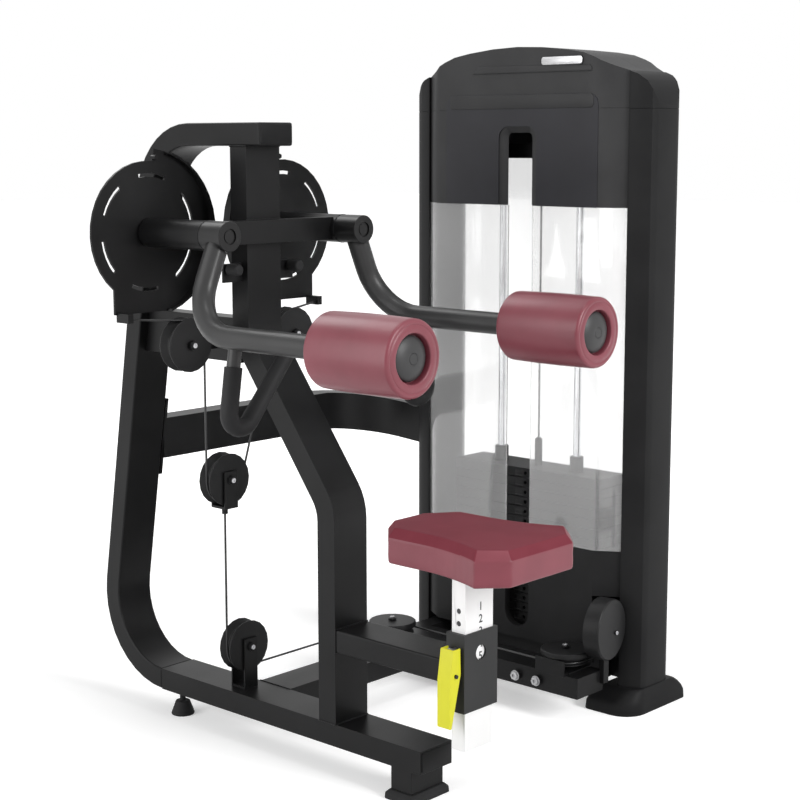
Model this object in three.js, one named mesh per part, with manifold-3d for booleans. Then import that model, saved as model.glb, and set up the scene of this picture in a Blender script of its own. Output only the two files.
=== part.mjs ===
// Seated lateral raise machine with a weight stack tower.
// X runs sideways from the seat towards the tower, Y from the seat towards the back, Z up.
// X 0 is the middle of the seat, Y 0 the middle of the upright's lower end, Z 0 the floor.
import * as THREE from "three";
import { mergeVertices } from "three/addons/utils/BufferGeometryUtils.js";
import Module from "manifold-3d";

const wasm = await Module();
wasm.setup();

// Clearances and counts that many pieces share
const seatGap = 0.3;
const runningGap = 0.4;
const overrun = 4;
const roundSides = 20;
const smallSides = 12;
const hexSides = 6;
const bendStepShare = 1 / 36;
const bendStep = 2 * Math.PI * bendStepShare;
const cornerStepShare = 1 / 12;
const cornerStep = 2 * Math.PI * cornerStepShare;

// Main side frame, bent from flat tube that is wider across the machine than it is thick
const tubeWide = 100;
const tubeThick = 50.7;
const floorClearance = 70;
const baseFront = -273;
const legFoot = { y: 776.5, z: floorClearance + tubeThick / 2 };
const legHead = { y: 564, z: 1388.6 };
const legBendLow = 183;
const legBendHigh = 156;
const topBeamFront = 191;
const uprightThick = 52;
const uprightBend = 100;
const uprightLow = { y: -1, z: 598 };
const uprightHigh = { y: 260, z: 946 };
const tieWide = 50;
const tieBottom = 883;
const tieTall = 100;
const seatBeamBottom = 283;

// Braces and low beams that join the side frame to the tower
const flangeThick = 8;
const flangeTall = 190;
const flangeMiddle = 662;
const braceThick = 60;
const braceTall = 98;
const braceBottom = 609;
const braceInnerBend = 144;
const braceEndX = 763;
const braceDrop = 29;
const crossFront = 221;
const crossWide = 99;
const towerBeamNear = 555;
const towerBeamWide = 102;
const towerBeamFront = -229;
const towerBeamBack = 400;
const linkWide = 50;
const linkFronts = [-182, 320];

// Feet
const frontPost = { wide: 100, long: 58, y: -219, bottom: 20 };
const frontPadSpread = 13;
const frontPadWall = 12;
const backFoot = { y: 544, plate: 20, plateThick: 6, stem: 7, bell: 28, bellTop: 17, bellTall: 34 };

// Seat column
const seatY = -370;
const post = { wide: 88, deep: 36, bottom: 147, holeRadius: 5.5, holeDeep: 14, holeTop: 440 };
const holePitch = 26;
const holeCount = 9;
const lockHole = 3;
const sleeve = { wide: 105, deep: 48, bottom: 231, top: 395, windowZ: 350, windowRadius: 16 };
const seatPlate = { wide: 150, long: 190, thick: 6 };
const sleeveShift = 1;

// Seat cushion: wide in front and narrow towards the machine, with flanks that curve in between
const cushion = { front: -548, back: -183, bottom: 530, edge: 57, bevel: 14, crown: 15, foam: 4, dish: 3 };
const cushionFrontHalf = 152;
const cushionWaist = { half: 115, front: -333 };
const cushionFrontCut = { x: 54, y: 49 };
const cushionBackCut = { x: 65, y: 60 };
const flankSteps = 4;
// The top's rings: insets as shares of the bevel, heights as shares of the crown and of the dish
const cushionTopShares = [
  { inset: 1, rise: 1, dish: 1 }, { inset: 2.2, rise: 1.05, dish: 0.8 }, { inset: 4.6, rise: 1.12, dish: 0 },
];
// How much a cut corner shortens with each inset, so that the margin along it stays even
const cutShortenShare = 0.586;
const cushionWaistShare = 1 / 3;

// Release lever on the sleeve's outer side
const lever = { wide: 34, sheet: 3, top: 369, bottom: 207, faceTop: 79, faceLow: 89, bendZ: 305 };
const leverInner = { top: 58, middle: 56, middleZ: 316, bottom: 84 };
const leverPin = { x: -72, z: 314, radius: 4 };
const leverEar = { near: 79, tall: 20 };
const lockPin = { radius: 5, head: 8, headLong: 5, headGap: 4 };

// Arm bearings, arms, grips and roller pads
const pivotX = 200.8;
const pivotZ = 1178;
const hub = { radius: 31.75, shaft: 20, collarFront: 121, seam: 187, back: 381 };
const hubPlug = { recess: 17, plug: 13, deep: 4 };
const crossBar = { front: 199, back: 234, bottom: 1154, tall: 50 };
const armRadius = 24;
const armBend = 115;
const armDropY = 152;
const armRunX = 285;
const armRunZ = 982;
const armShoulderY = -235;
const axleRadius = 17;
const roller = { radius: 74.5, front: -466, back: -251, round: 7, recess: 47, recessDeep: 18, crown: 1.5 };
const rollerCap = { radius: 43, thick: 9, dome: 8 };
const domeShares = [{ r: 0.4, h: 0.9 }, { r: 0.75, h: 0.55 }];
const stubRadius = 14.5;
const gripRadius = 19;
const gripY = 21;
const gripBend = 31;
const gripEndShares = [60 / 90, 40 / 90, 20 / 90, 6 / 90];
const gripStepShare = 1.6;
const gripTopX = 278.5;
const gripRoute = { startX: 287, startZ: 924, cornerX: 316, cornerZ: 725, endX: 106, endZ: 975 };

// Cam plates
const cam = { front: 385, thick: 6, outer: 154, inner: 181, rimDeep: 15, rimThick: 5 };
const camStepShare = 84 / 180;
const camTab = { half: 96, bottom: 174 };
const camSlot = { radius: 124, wide: 8, count: 6 };
const camSlotShare = 34 / 360;
const camBolt = { radius: 6, at: 162, long: 12 };
const cableLug = { x: 84, z: 183, half: 7, front: 348, cableY: 356 };

// Stops on the upright
const stop = { x: 91, z: 1098, bumper: 13, front: 214, back: 252 };
const stopPlate = { thick: 6, bottom: 1069, top: 1110 };

// Pulleys
const pulley = { rim: 60, lip: 3, wide: 36, axle: 6, boltHead: 11, boltTall: 5, cheek: 4 };
const cableRadius = 2.5;
const wrap = 52.5;
const grooveGap = 0.8;
const cableEndGap = 1;
const sheaveGap = 1.5;
const planeY = 320;
const upperPulley = { x: 157, z: 934 };
const floatPulley = { x: -52, z: 619 };
const floatClevis = { half: 20, bottom: 553, thick: 6, stud: 7, studBottom: 538 };
const bottomPulleyZ = 219;
const cornerPulleyZ = 145;
const cornerDisc = { thick: 14, gap: 1, round: 2, inset: 5 };
const cornerSheaveWide = 16;
const cornerPlate = { thick: 4, half: 45 };
const backCorner = { x: 508, y: 320 };
const frontCorner = { x: 613, y: -149 };
const guard = { radius: 74, wall: 3, x: 655, y: -255, z: 224, deep: 41 };
const guardStay = { half: 10, long: 11, bottom: 90 };
const guardTurnShare = 8.6 / 180;
const guardBolt = { x: 17, z: -11, radius: 5, tall: 4 };
const lift = { x: 704, z: 206, wrap: 61, rim: 62.5, wide: 14, plate: -182 };
const headPulley = { z: 1486, wide: 20, plateHalf: 18 };
const pulleyArm = { tall: 40, thick: 6, reach: 14 };
const baseBolt = { y: [-48, -111], z: 93, radius: 12, tall: 8 };

// Weight stack tower
const towerX = 805;
const towerY = 86;
const postHalf = 74;
const postBack = 308;
const postFace = 366;
const postFaceHalf = 37;
// The post's rounded shoulder: shares of its half width, and of its depth from its back to its face
const postTurnShares = [{ x: 1, y: 0.1 }, { x: 0.92, y: 0.53 }, { x: 0.74, y: 0.9 }];
const capSeam = 1447;
const seam = 1;
const coverHalf = 104;
const coverRidge = 247;
const coverEnd = postBack - seatGap;
const coverEndHalf = 67;
const skin = 4;
const shieldTop = 1218;
const farShieldTop = 1340;
const shieldBottom = 394;
const lowerCoverBottom = 131;
const shieldEdge = { front: 34, back: 109 };
const slotTop = 1408;
const slotBottom = 160;
const slotRound = 28;
const recess = { middle: 81.5, half: 58, slope: 21.5, topSlope: 15, deep: 11, wall: 3, innerRound: 12 };
const lipDeep = 20;
const stripNotchTop = 281;
const placard = { top: 1484, y: 76, half: 233, thick: 2, round: 26 };
const roofTall = 150;
// The roof's arch: shares of the post face's distance from the middle, and of the roof's height
const roofShares = [
  { y: 1, z: 0.1 }, { y: 0.984, z: 0.293 }, { y: 0.954, z: 0.427 }, { y: 0.902, z: 0.527 },
  { y: 0.751, z: 0.66 }, { y: 0.626, z: 0.8 }, { y: 0.541, z: 0.873 }, { y: 0.41, z: 0.927 },
  { y: 0.205, z: 0.98 }, { y: 0, z: 1 },
];
const badge = { half: 61, tall: 22, thick: 3, round: 8 };
const badgeForwardShare = 0.55;
const badgeRiseShare = 0.76;
const sole = { half: 48 };
const foot = { half: 121, front: -292, back: -152, corner: 60, squareCorner: 14, tall: 60 };
const footDraw = { side: 44, front: 10, back: 30 };
// The foot's rings: shares of how far its top is drawn in, and of its height
const footRingShares = [
  { draw: 0, z: 0 }, { draw: 0.05, z: 0.37 }, { draw: 0.2, z: 0.57 },
  { draw: 0.48, z: 0.78 }, { draw: 0.77, z: 0.93 }, { draw: 1, z: 1 },
];
const footRoundShare = 0.72;
const headBeam = { half: 25, bottom: 1331, tall: 37, hole: 9 };

// Weight stack
const rod = { radius: 9.5, spacing: 120, gap: 1 };
const stack = { half: 55, halfLong: 228, bottom: 157, pitch: 25, groove: 1.6, inset: 5 };
const plateCount = 16;
const liftedCount = 10;
const stackTop = stack.bottom + stack.pitch * plateCount;
const bushing = { radius: 17, tall: 38 };
const stem = { radius: 9.5, tall: 72, taper: 4 };
const pinHole = { radius: 5, deep: 46, sides: 8 };
const selector = { shaft: 4.3, knob: 11, knobLong: 24, reach: 40, knobFront: 692 };
const buffer = { radius: 22 };

// Paints and plastics
function finish(color, roughness, metalness) {
  return new THREE.MeshStandardMaterial({ color, roughness, metalness });
}
const frameBlack = finish(0x2b2b2c, 0.5, 0.35);
const sleeveGrey = finish(0x3c3d3e, 0.5, 0.3);
const plasticBlack = finish(0x232324, 0.55, 0);
const coverBlack = finish(0x333435, 0.6, 0);
const rubberBlack = finish(0x17171a, 0.85, 0);
const burgundy = finish(0x86424f, 0.45, 0);
const postWhite = finish(0xf4f4f2, 0.4, 0.1);
const yellow = finish(0xe2e232, 0.45, 0);
const clearPlastic = finish(0xc9cccd, 0.3, 0);
const placardBlue = finish(0x3b3b45, 0.5, 0);
const steel = finish(0xc4c6c8, 0.25, 0.9);
const ironBlack = finish(0x1c1c1d, 0.6, 0.5);

const machine = new THREE.Group();

// Adds one piece to the machine
function place(name, geometry, material) {
  const mesh = new THREE.Mesh(geometry, material);
  mesh.name = name;
  machine.add(mesh);
  return mesh;
}

const point = (x, y) => new THREE.Vector2(x, y);
const steepShare = 0.9;
const weldGap = 1e-3;

// A closed outline pushed along an axis. The outline holds Y and Z for x, X and Z for y, X and Y for z.
function slab(outline, axis, from, to, holes = []) {
  const shape = new THREE.Shape(outline);
  for (const hole of holes) {
    shape.holes.push(new THREE.Path(hole));
  }
  const geometry = new THREE.ExtrudeGeometry(shape, { depth: to - from, bevelEnabled: false });
  const turn = new THREE.Matrix4();
  if (axis === "x") {
    turn.set(0, 0, 1, from, 1, 0, 0, 0, 0, 1, 0, 0, 0, 0, 0, 1);
  } else if (axis === "y") {
    turn.set(1, 0, 0, 0, 0, 0, -1, to, 0, 1, 0, 0, 0, 0, 0, 1);
  } else {
    turn.makeTranslation(0, 0, from);
  }
  return geometry.applyMatrix4(turn);
}

// A box between two corners
function block(x1, x2, y1, y2, z1, z2) {
  const geometry = new THREE.BoxGeometry(x2 - x1, y2 - y1, z2 - z1);
  return geometry.translate((x1 + x2) / 2, (y1 + y2) / 2, (z1 + z2) / 2);
}

// A round bar between two points
function bar(start, end, radius, sides = roundSides) {
  const a = new THREE.Vector3(...start);
  const b = new THREE.Vector3(...end);
  const along = b.clone().sub(a);
  const geometry = new THREE.CylinderGeometry(radius, radius, along.length(), sides);
  const up = new THREE.Vector3(0, 1, 0);
  geometry.applyQuaternion(new THREE.Quaternion().setFromUnitVectors(up, along.clone().normalize()));
  return geometry.translate(...a.add(b).multiplyScalar(0.5).toArray());
}

// A turned piece: its profile holds radius and height, and the height runs along the axis
function turned(profile, axis, x, y, z, sides = roundSides) {
  const points = profile.map(([r, h]) => point(r, h));
  const geometry = new THREE.LatheGeometry(points, sides);
  if (axis === "z") {
    geometry.rotateX(Math.PI / 2);
  } else if (axis === "x") {
    geometry.rotateZ(-Math.PI / 2);
  }
  return geometry.translate(x, y, z);
}

// Joins and cuts closed geometries
function toSolid(geometry) {
  const bare = new THREE.BufferGeometry();
  bare.setAttribute("position", geometry.getAttribute("position").clone());
  if (geometry.index) {
    bare.setIndex(geometry.index.clone());
  }
  const merged = mergeVertices(bare, weldGap);
  const vertProperties = merged.attributes.position.array;
  const triVerts = new Uint32Array(merged.index.array);
  return new wasm.Manifold(new wasm.Mesh({ numProp: 3, vertProperties, triVerts }));
}

function toGeometry(solid) {
  const mesh = solid.getMesh();
  const geometry = new THREE.BufferGeometry();
  geometry.setAttribute("position", new THREE.BufferAttribute(new Float32Array(mesh.vertProperties), 3));
  geometry.setIndex(new THREE.BufferAttribute(new Uint32Array(mesh.triVerts), 1));
  return geometry;
}

function joined(...pieces) {
  return toGeometry(pieces.map(toSolid).reduce((sum, piece) => sum.add(piece)));
}

function cut(base, ...tools) {
  return toGeometry(tools.map(toSolid).reduce((rest, tool) => rest.subtract(tool), toSolid(base)));
}

function common(first, second) {
  return toGeometry(toSolid(first).intersect(toSolid(second)));
}

// The points of an arc, angles in radians
function arc(x, y, radius, from, to, step = bendStep) {
  const count = Math.max(2, Math.ceil(Math.abs(to - from) / step));
  const points = [];
  for (let i = 0; i <= count; i++) {
    const angle = from + ((to - from) * i) / count;
    points.push(point(x + radius * Math.cos(angle), y + radius * Math.sin(angle)));
  }
  return points;
}

// A closed disc outline
function disc(x, y, radius, sides = roundSides) {
  return arc(x, y, radius, 0, 2 * Math.PI, (2 * Math.PI) / sides).slice(0, -1);
}

// A centre line with rounded corners, as points with the direction that the line has there
function roundedLine(corners, radii, step = bendStep) {
  const line = [];
  const first = corners[1].clone().sub(corners[0]).normalize();
  line.push({ at: corners[0].clone(), along: first });
  for (let i = 1; i < corners.length - 1; i++) {
    const before = corners[i].clone().sub(corners[i - 1]).normalize();
    const after = corners[i + 1].clone().sub(corners[i]).normalize();
    const turn = before.angleTo(after);
    const radius = radii[i - 1];
    const tangent = radius * Math.tan(turn / 2);
    const start = corners[i].clone().addScaledVector(before, -tangent);
    const inward = after.clone().addScaledVector(before, -after.dot(before)).normalize();
    const count = Math.max(2, Math.ceil(turn / step));
    for (let k = 0; k <= count; k++) {
      const angle = (turn * k) / count;
      const at = start.clone();
      at.addScaledVector(before, radius * Math.sin(angle));
      at.addScaledVector(inward, radius * (1 - Math.cos(angle)));
      const along = before.clone().multiplyScalar(Math.cos(angle)).addScaledVector(inward, Math.sin(angle));
      line.push({ at, along });
    }
  }
  const last = corners[corners.length - 1];
  const end = last.clone().sub(corners[corners.length - 2]).normalize();
  line.push({ at: last.clone(), along: end });
  return line;
}

// The flat outline of a bent tube seen from its side
function bentOutline(corners, radii, thick) {
  const line = roundedLine(corners.map(([a, b]) => new THREE.Vector3(a, b, 0)), radii);
  const reach = thick / 2;
  const left = line.map(({ at, along }) => point(at.x - along.y * reach, at.y + along.x * reach));
  const right = line.map(({ at, along }) => point(at.x + along.y * reach, at.y - along.x * reach));
  return [...right, ...left.reverse()];
}

// Whether a closed surface faces inwards
function insideOut(positions, index) {
  const corner = (i) => new THREE.Vector3().fromArray(positions, 3 * i);
  let volume = 0;
  for (let i = 0; i < index.length; i += 3) {
    volume += corner(index[i]).dot(corner(index[i + 1]).cross(corner(index[i + 2])));
  }
  return volume < 0;
}

// A closed solid through a row of rings with the same number of points
function loft(rings) {
  const count = rings[0].length;
  const positions = rings.flat().flatMap((p) => [p.x, p.y, p.z]);
  const index = [];
  for (let r = 0; r < rings.length - 1; r++) {
    for (let i = 0; i < count; i++) {
      const a = r * count + i;
      const b = r * count + ((i + 1) % count);
      index.push(a, b, b + count, a, b + count, a + count);
    }
  }
  const lastStart = (rings.length - 1) * count;
  for (const [ring, start, flip] of [[rings[0], 0, true], [rings.at(-1), lastStart, false]]) {
    const centre = ring.reduce((sum, p) => sum.add(p), new THREE.Vector3()).divideScalar(count);
    const tip = positions.length / 3;
    positions.push(centre.x, centre.y, centre.z);
    for (let i = 0; i < count; i++) {
      const a = start + i;
      const b = start + ((i + 1) % count);
      index.push(...(flip ? [b, a, tip] : [a, b, tip]));
    }
  }
  const geometry = new THREE.BufferGeometry();
  geometry.setAttribute("position", new THREE.Float32BufferAttribute(positions, 3));
  geometry.setIndex(insideOut(positions, index) ? index.reverse() : index);
  return geometry;
}

// A round tube along a line, with a ring at each of its points
function pipe(line, radius, sides = smallSides) {
  let side = new THREE.Vector3(0, 0, 1);
  if (Math.abs(line[0].along.z) > steepShare) {
    side = new THREE.Vector3(0, 1, 0);
  }
  const rings = line.map(({ at, along, shrink = 1 }) => {
    side.addScaledVector(along, -side.dot(along)).normalize();
    const across = along.clone().cross(side);
    return Array.from({ length: sides }, (_, i) => {
      const angle = (2 * Math.PI * i) / sides;
      const reach = radius * shrink;
      const p = at.clone().addScaledVector(side, reach * Math.cos(angle));
      return p.addScaledVector(across, reach * Math.sin(angle));
    });
  });
  return loft(rings);
}

// Side frame
const half = tubeWide / 2;
const beamTop = floorClearance + tubeThick;
const legLean = Math.atan2(legFoot.y - legHead.y, legHead.z - legFoot.z);
const legTurnLow = Math.PI / 2 + legLean;
const legBendStart = legFoot.y - legBendLow * Math.tan(legTurnLow / 2);
const legFrontAt = (z) => {
  const middle = legFoot.y - (z - legFoot.z) * Math.tan(legLean);
  return middle - tubeThick / 2 / Math.cos(legLean);
};

const frontPostFront = frontPost.y - frontPost.long / 2;
const bracketHalf = floatClevis.half;
const cheekIn = pulley.wide / 2 + sheaveGap;
const cheekOut = cheekIn + pulley.cheek;
const boltFront = planeY - cheekOut - pulley.boltTall;

// Two cheeks and an axle bolt that carry a pulley whose axle runs along Y
function pulleyCheeks(x, z, bottom, top) {
  const cheeks = [-1, 1].map((side) => {
    const middle = planeY + (side * (cheekIn + cheekOut)) / 2;
    return block(
      x - bracketHalf, x + bracketHalf, middle - pulley.cheek / 2, middle + pulley.cheek / 2, bottom, top,
    );
  });
  const axle = bar([x, planeY - cheekOut, z], [x, planeY + cheekOut, z], pulley.axle, smallSides);
  const head = bar([x, boltFront, z], [x, planeY - cheekOut, z], pulley.boltHead, hexSides);
  return joined(...cheeks, axle, head);
}

const baseBox = block(-half, half, baseFront, legBendStart, floorClearance, beamTop);
const frontPostBox = block(
  -frontPost.wide / 2, frontPost.wide / 2,
  frontPostFront, frontPostFront + frontPost.long,
  frontPost.bottom, floorClearance + overrun,
);
const bottomFootPlate = block(
  -bracketHalf, bracketHalf, planeY - cheekOut, planeY + cheekOut,
  beamTop - overrun, beamTop + pulley.cheek,
);
const bottomCheeks = pulleyCheeks(0, bottomPulleyZ, beamTop, bottomPulleyZ + bracketHalf);
place("base_beam", joined(baseBox, frontPostBox, bottomFootPlate, bottomCheeks), frameBlack);

const legOutline = bentOutline(
  [[legBendStart, legFoot.z], [legFoot.y, legFoot.z], [legHead.y, legHead.z], [topBeamFront, legHead.z]],
  [legBendLow, legBendHigh],
  tubeThick,
);
place("rear_leg_and_top_beam", slab(legOutline, "x", -half, half), frameBlack);

const topBeamBottom = legHead.z - tubeThick / 2;
const uprightOutline = bentOutline(
  [
    [uprightLow.y, beamTop], [uprightLow.y, uprightLow.z],
    [uprightHigh.y, uprightHigh.z], [uprightHigh.y, topBeamBottom],
  ],
  [uprightBend, uprightBend],
  uprightThick,
);
const stopArms = [-1, 1].map((side) => {
  const outer = side * (stop.x + stop.bumper);
  const inner = side * (half - overrun);
  return joined(
    block(
      Math.min(inner, outer), Math.max(inner, outer),
      stop.back, stop.back + stopPlate.thick, stopPlate.bottom, stopPlate.top,
    ),
    bar(
      [side * stop.x, stop.back - overrun, stop.z], [side * stop.x, stop.back + overrun, stop.z],
      pulley.axle, smallSides,
    ),
  );
});
place("upright", joined(slab(uprightOutline, "x", -half, half), ...stopArms), frameBlack);

["left", "right"].forEach((name, i) => {
  const x = (i * 2 - 1) * stop.x;
  const bumper = [
    [0, stop.front], [stop.bumper - stopPlate.thick / 2, stop.front],
    [stop.bumper, stop.front + stopPlate.thick / 2],
    [stop.bumper, stop.back - overrun - seatGap], [0, stop.back - overrun - seatGap],
  ];
  place(`stop_bumper_${name}`, turned(bumper, "y", x, 0, stop.z, smallSides), rubberBlack);
});

const uprightBack = uprightHigh.y + uprightThick / 2;
const tieOutline = [
  point(uprightBack, tieBottom),
  point(legFrontAt(tieBottom) - seatGap, tieBottom),
  point(legFrontAt(tieBottom + tieTall) - seatGap, tieBottom + tieTall),
  point(uprightBack, tieBottom + tieTall),
];
const pulleyArms = [-1, 1].map((side) => {
  const inner = side * (tieWide / 2 - overrun);
  const outer = side * (upperPulley.x + pulleyArm.reach);
  const z1 = upperPulley.z - pulleyArm.tall / 2;
  const y1 = planeY + cheekIn;
  const x = side * upperPulley.x;
  return joined(
    block(
      Math.min(inner, outer), Math.max(inner, outer), y1, y1 + pulleyArm.thick, z1, z1 + pulleyArm.tall,
    ),
    bar([x, planeY - cheekOut, upperPulley.z], [x, y1 + overrun, upperPulley.z], pulley.axle, smallSides),
    bar([x, boltFront, upperPulley.z], [x, planeY - cheekIn, upperPulley.z], pulley.boltHead, hexSides),
  );
});
place("tie_tube", joined(slab(tieOutline, "x", -tieWide / 2, tieWide / 2), ...pulleyArms), frameBlack);

const seatBeamTop = seatBeamBottom + tubeThick;
const uprightFront = uprightLow.y - uprightThick / 2;
const sleeveBack = seatY + sleeve.deep / 2 + sleeveShift;
place(
  "seat_beam",
  block(-half, half, sleeveBack, uprightFront, seatBeamBottom, seatBeamTop),
  frameBlack,
);

// Feet of the side frame
const padRing = (spread, z) => {
  const x = frontPost.wide / 2 + spread;
  const y1 = frontPostFront - spread;
  const y2 = frontPostFront + frontPost.long + spread;
  const r = overrun + spread / 2;
  const corners = [
    ...arc(x - r, y1 + r, r, -Math.PI / 2, 0, cornerStep),
    ...arc(x - r, y2 - r, r, 0, Math.PI / 2, cornerStep),
    ...arc(-x + r, y2 - r, r, Math.PI / 2, Math.PI, cornerStep),
    ...arc(-x + r, y1 + r, r, Math.PI, (3 * Math.PI) / 2, cornerStep),
  ];
  return corners.map((p) => new THREE.Vector3(p.x, p.y, z));
};
place(
  "front_foot",
  loft([
    padRing(frontPadSpread, 0),
    padRing(frontPadSpread - seam, frontPadWall),
    padRing(overrun, frontPost.bottom - seatGap),
  ]),
  rubberBlack,
);
place(
  "back_foot",
  turned(
    [
      [0, 0], [backFoot.bell, 0], [backFoot.bell, overrun], [backFoot.bellTop, backFoot.bellTall],
      [backFoot.stem, backFoot.bellTall], [backFoot.stem, floorClearance - backFoot.plateThick],
      [backFoot.plate, floorClearance - backFoot.plateThick], [backFoot.plate, floorClearance - seatGap],
      [0, floorClearance - seatGap],
    ],
    "z", 0, backFoot.y, 0,
  ),
  rubberBlack,
);

// Seat column
const postTop = cushion.bottom - seatGap - seatPlate.thick;
const postBox = block(
  -post.wide / 2, post.wide / 2, seatY - post.deep / 2, seatY + post.deep / 2,
  post.bottom, postTop + overrun / 2,
);
const seatPlateBox = block(
  -seatPlate.wide / 2, seatPlate.wide / 2, seatY - seatPlate.long / 2, seatY + seatPlate.long / 2,
  postTop, postTop + seatPlate.thick,
);
const postHoles = Array.from({ length: holeCount }, (_, i) => {
  const z = post.holeTop - i * holePitch;
  const x = -post.wide / 2;
  return bar([x - overrun, seatY, z], [x + post.holeDeep, seatY, z], post.holeRadius, smallSides);
});
place("seat_post", cut(joined(postBox, seatPlateBox), ...postHoles), postWhite);

const lockZ = post.holeTop - lockHole * holePitch;
const sleeveFront = seatY - sleeve.deep / 2 + sleeveShift;
const sleeveBox = block(
  -sleeve.wide / 2, sleeve.wide / 2, sleeveFront, sleeveBack, sleeve.bottom, sleeve.top,
);
const sleeveBore = block(
  -post.wide / 2 - runningGap, post.wide / 2 + runningGap,
  seatY - post.deep / 2 - runningGap, seatY + post.deep / 2 + runningGap,
  sleeve.bottom - overrun, sleeve.top + overrun,
);
const sleeveWindow = bar(
  [0, sleeveFront - overrun, sleeve.windowZ], [0, seatY - post.deep / 2, sleeve.windowZ],
  sleeve.windowRadius,
);
const sleeveSide = -sleeve.wide / 2;
const lockBore = bar(
  [sleeveSide - overrun, seatY, lockZ], [-post.wide / 2, seatY, lockZ],
  lockPin.radius + runningGap, smallSides,
);
const leverInnerHalf = lever.wide / 2 - lever.sheet;
const ear = block(
  -leverEar.near, sleeveSide + overrun,
  seatY - leverInnerHalf + runningGap, seatY + leverInnerHalf - runningGap,
  leverPin.z - leverEar.tall / 2, leverPin.z + leverEar.tall / 2,
);
const earPin = bar(
  [leverPin.x, seatY - lever.wide / 2 - overrun, leverPin.z],
  [leverPin.x, seatY + lever.wide / 2 + overrun, leverPin.z],
  leverPin.radius, smallSides,
);
place(
  "seat_sleeve",
  joined(cut(sleeveBox, sleeveBore, sleeveWindow, lockBore), ear, earPin),
  sleeveGrey,
);

// Folded lever: two side flanges and an outer face
const leverSideOutline = [
  point(-leverInner.top, lever.top),
  point(-lever.faceTop, lever.top),
  point(-lever.faceLow, lever.bendZ),
  point(-lever.faceLow, lever.bottom),
  point(-leverInner.bottom, lever.bottom),
  point(-leverInner.middle, leverInner.middleZ),
];
const leverHollow = [
  point(0, lever.top + overrun),
  point(-lever.faceTop + lever.sheet, lever.top + overrun),
  point(-lever.faceTop + lever.sheet, lever.top),
  point(-lever.faceLow + lever.sheet, lever.bendZ),
  point(-lever.faceLow + lever.sheet, lever.bottom - overrun),
  point(0, lever.bottom - overrun),
];
const leverBody = slab(leverSideOutline, "y", seatY - lever.wide / 2, seatY + lever.wide / 2);
const leverSpace = slab(leverHollow, "y", seatY - leverInnerHalf, seatY + leverInnerHalf);
const leverBore = bar(
  [leverPin.x, seatY - lever.wide, leverPin.z], [leverPin.x, seatY + lever.wide, leverPin.z],
  leverPin.radius + runningGap, smallSides,
);
place("release_lever", cut(leverBody, leverSpace, leverBore), yellow);

const pinTip = -post.wide / 2 - runningGap;
const leverFaceAtLock = THREE.MathUtils.mapLinear(
  lockZ, lever.top, lever.bendZ, lever.faceTop, lever.faceLow,
);
const pinBack = -leverFaceAtLock + lever.sheet + lockPin.headGap;
place(
  "seat_lock_pin",
  joined(
    bar([pinBack + lockPin.headLong / 2, seatY, lockZ], [pinTip, seatY, lockZ], lockPin.radius, smallSides),
    bar([pinBack, seatY, lockZ], [pinBack + lockPin.headLong, seatY, lockZ], lockPin.head, smallSides),
  ),
  steel,
);

// Seat cushion: cut corners, curved flanks, a drawn-in foot, and a bevel up to a dished and crowned top
function cushionRing(inset, z, lift = 0) {
  const front = cushion.front + inset;
  const back = cushion.back - inset;
  const wide = cushionFrontHalf - inset;
  const waist = cushionWaist.half - inset;
  const shorter = inset * cutShortenShare;
  const cheek = front + cushionFrontCut.y - shorter;
  const flank = [];
  for (let i = 0; i <= flankSteps; i += 1) {
    const share = i / flankSteps;
    const flare = (wide - waist) * (1 - share) ** 2;
    flank.push(point(waist + flare, cheek + (cushionWaist.front - cheek) * share));
  }
  const right = [
    point(0, front), point(wide - cushionFrontCut.x + shorter, front), ...flank,
    point(waist, back - cushionBackCut.y + shorter), point(waist - cushionBackCut.x + shorter, back),
    point(0, back),
  ];
  const left = right.slice(1, -1).reverse().map((p) => point(-p.x, p.y));
  const centreY = (cushion.front + cushion.back) / 2;
  return [...right, ...left].map((p) => {
    const side = Math.abs(p.x) / cushionFrontHalf;
    const ahead = (p.y - centreY) / (cushion.front - centreY);
    return new THREE.Vector3(p.x, p.y, z + lift * (side * side - ahead * ahead / 2));
  });
}
const cushionTop = cushion.bottom + cushion.edge;
place(
  "seat_cushion",
  loft([
    cushionRing(2 * cushion.foam, cushion.bottom),
    cushionRing(cushion.foam / 2, cushion.bottom + cushion.foam),
    cushionRing(0, cushion.bottom + cushion.edge * cushionWaistShare),
    cushionRing(0, cushionTop - 2 * cushion.foam),
    cushionRing(cushion.foam / 2, cushionTop - cushion.foam / 2),
    ...cushionTopShares.map(({ inset, rise, dish }) =>
      cushionRing(cushion.bevel * inset, cushionTop + cushion.crown * rise, cushion.dish * dish),
    ),
  ]),
  burgundy,
);

// Arm bearings on their cross bar
const crossBarTop = crossBar.bottom + crossBar.tall;
const yokePieces = [block(-pivotX, pivotX, crossBar.front, crossBar.back, crossBar.bottom, crossBarTop)];
for (const side of [-1, 1]) {
  yokePieces.push(bar([side * pivotX, hub.seam, pivotZ], [side * pivotX, hub.back, pivotZ], hub.radius));
}
const yokeBores = [-1, 1].map((side) =>
  bar(
    [side * pivotX, hub.seam - overrun, pivotZ], [side * pivotX, hub.back + overrun, pivotZ],
    hub.shaft + runningGap,
  ),
);
place("arm_bearing_bar", cut(joined(...yokePieces), ...yokeBores), frameBlack);

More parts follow.
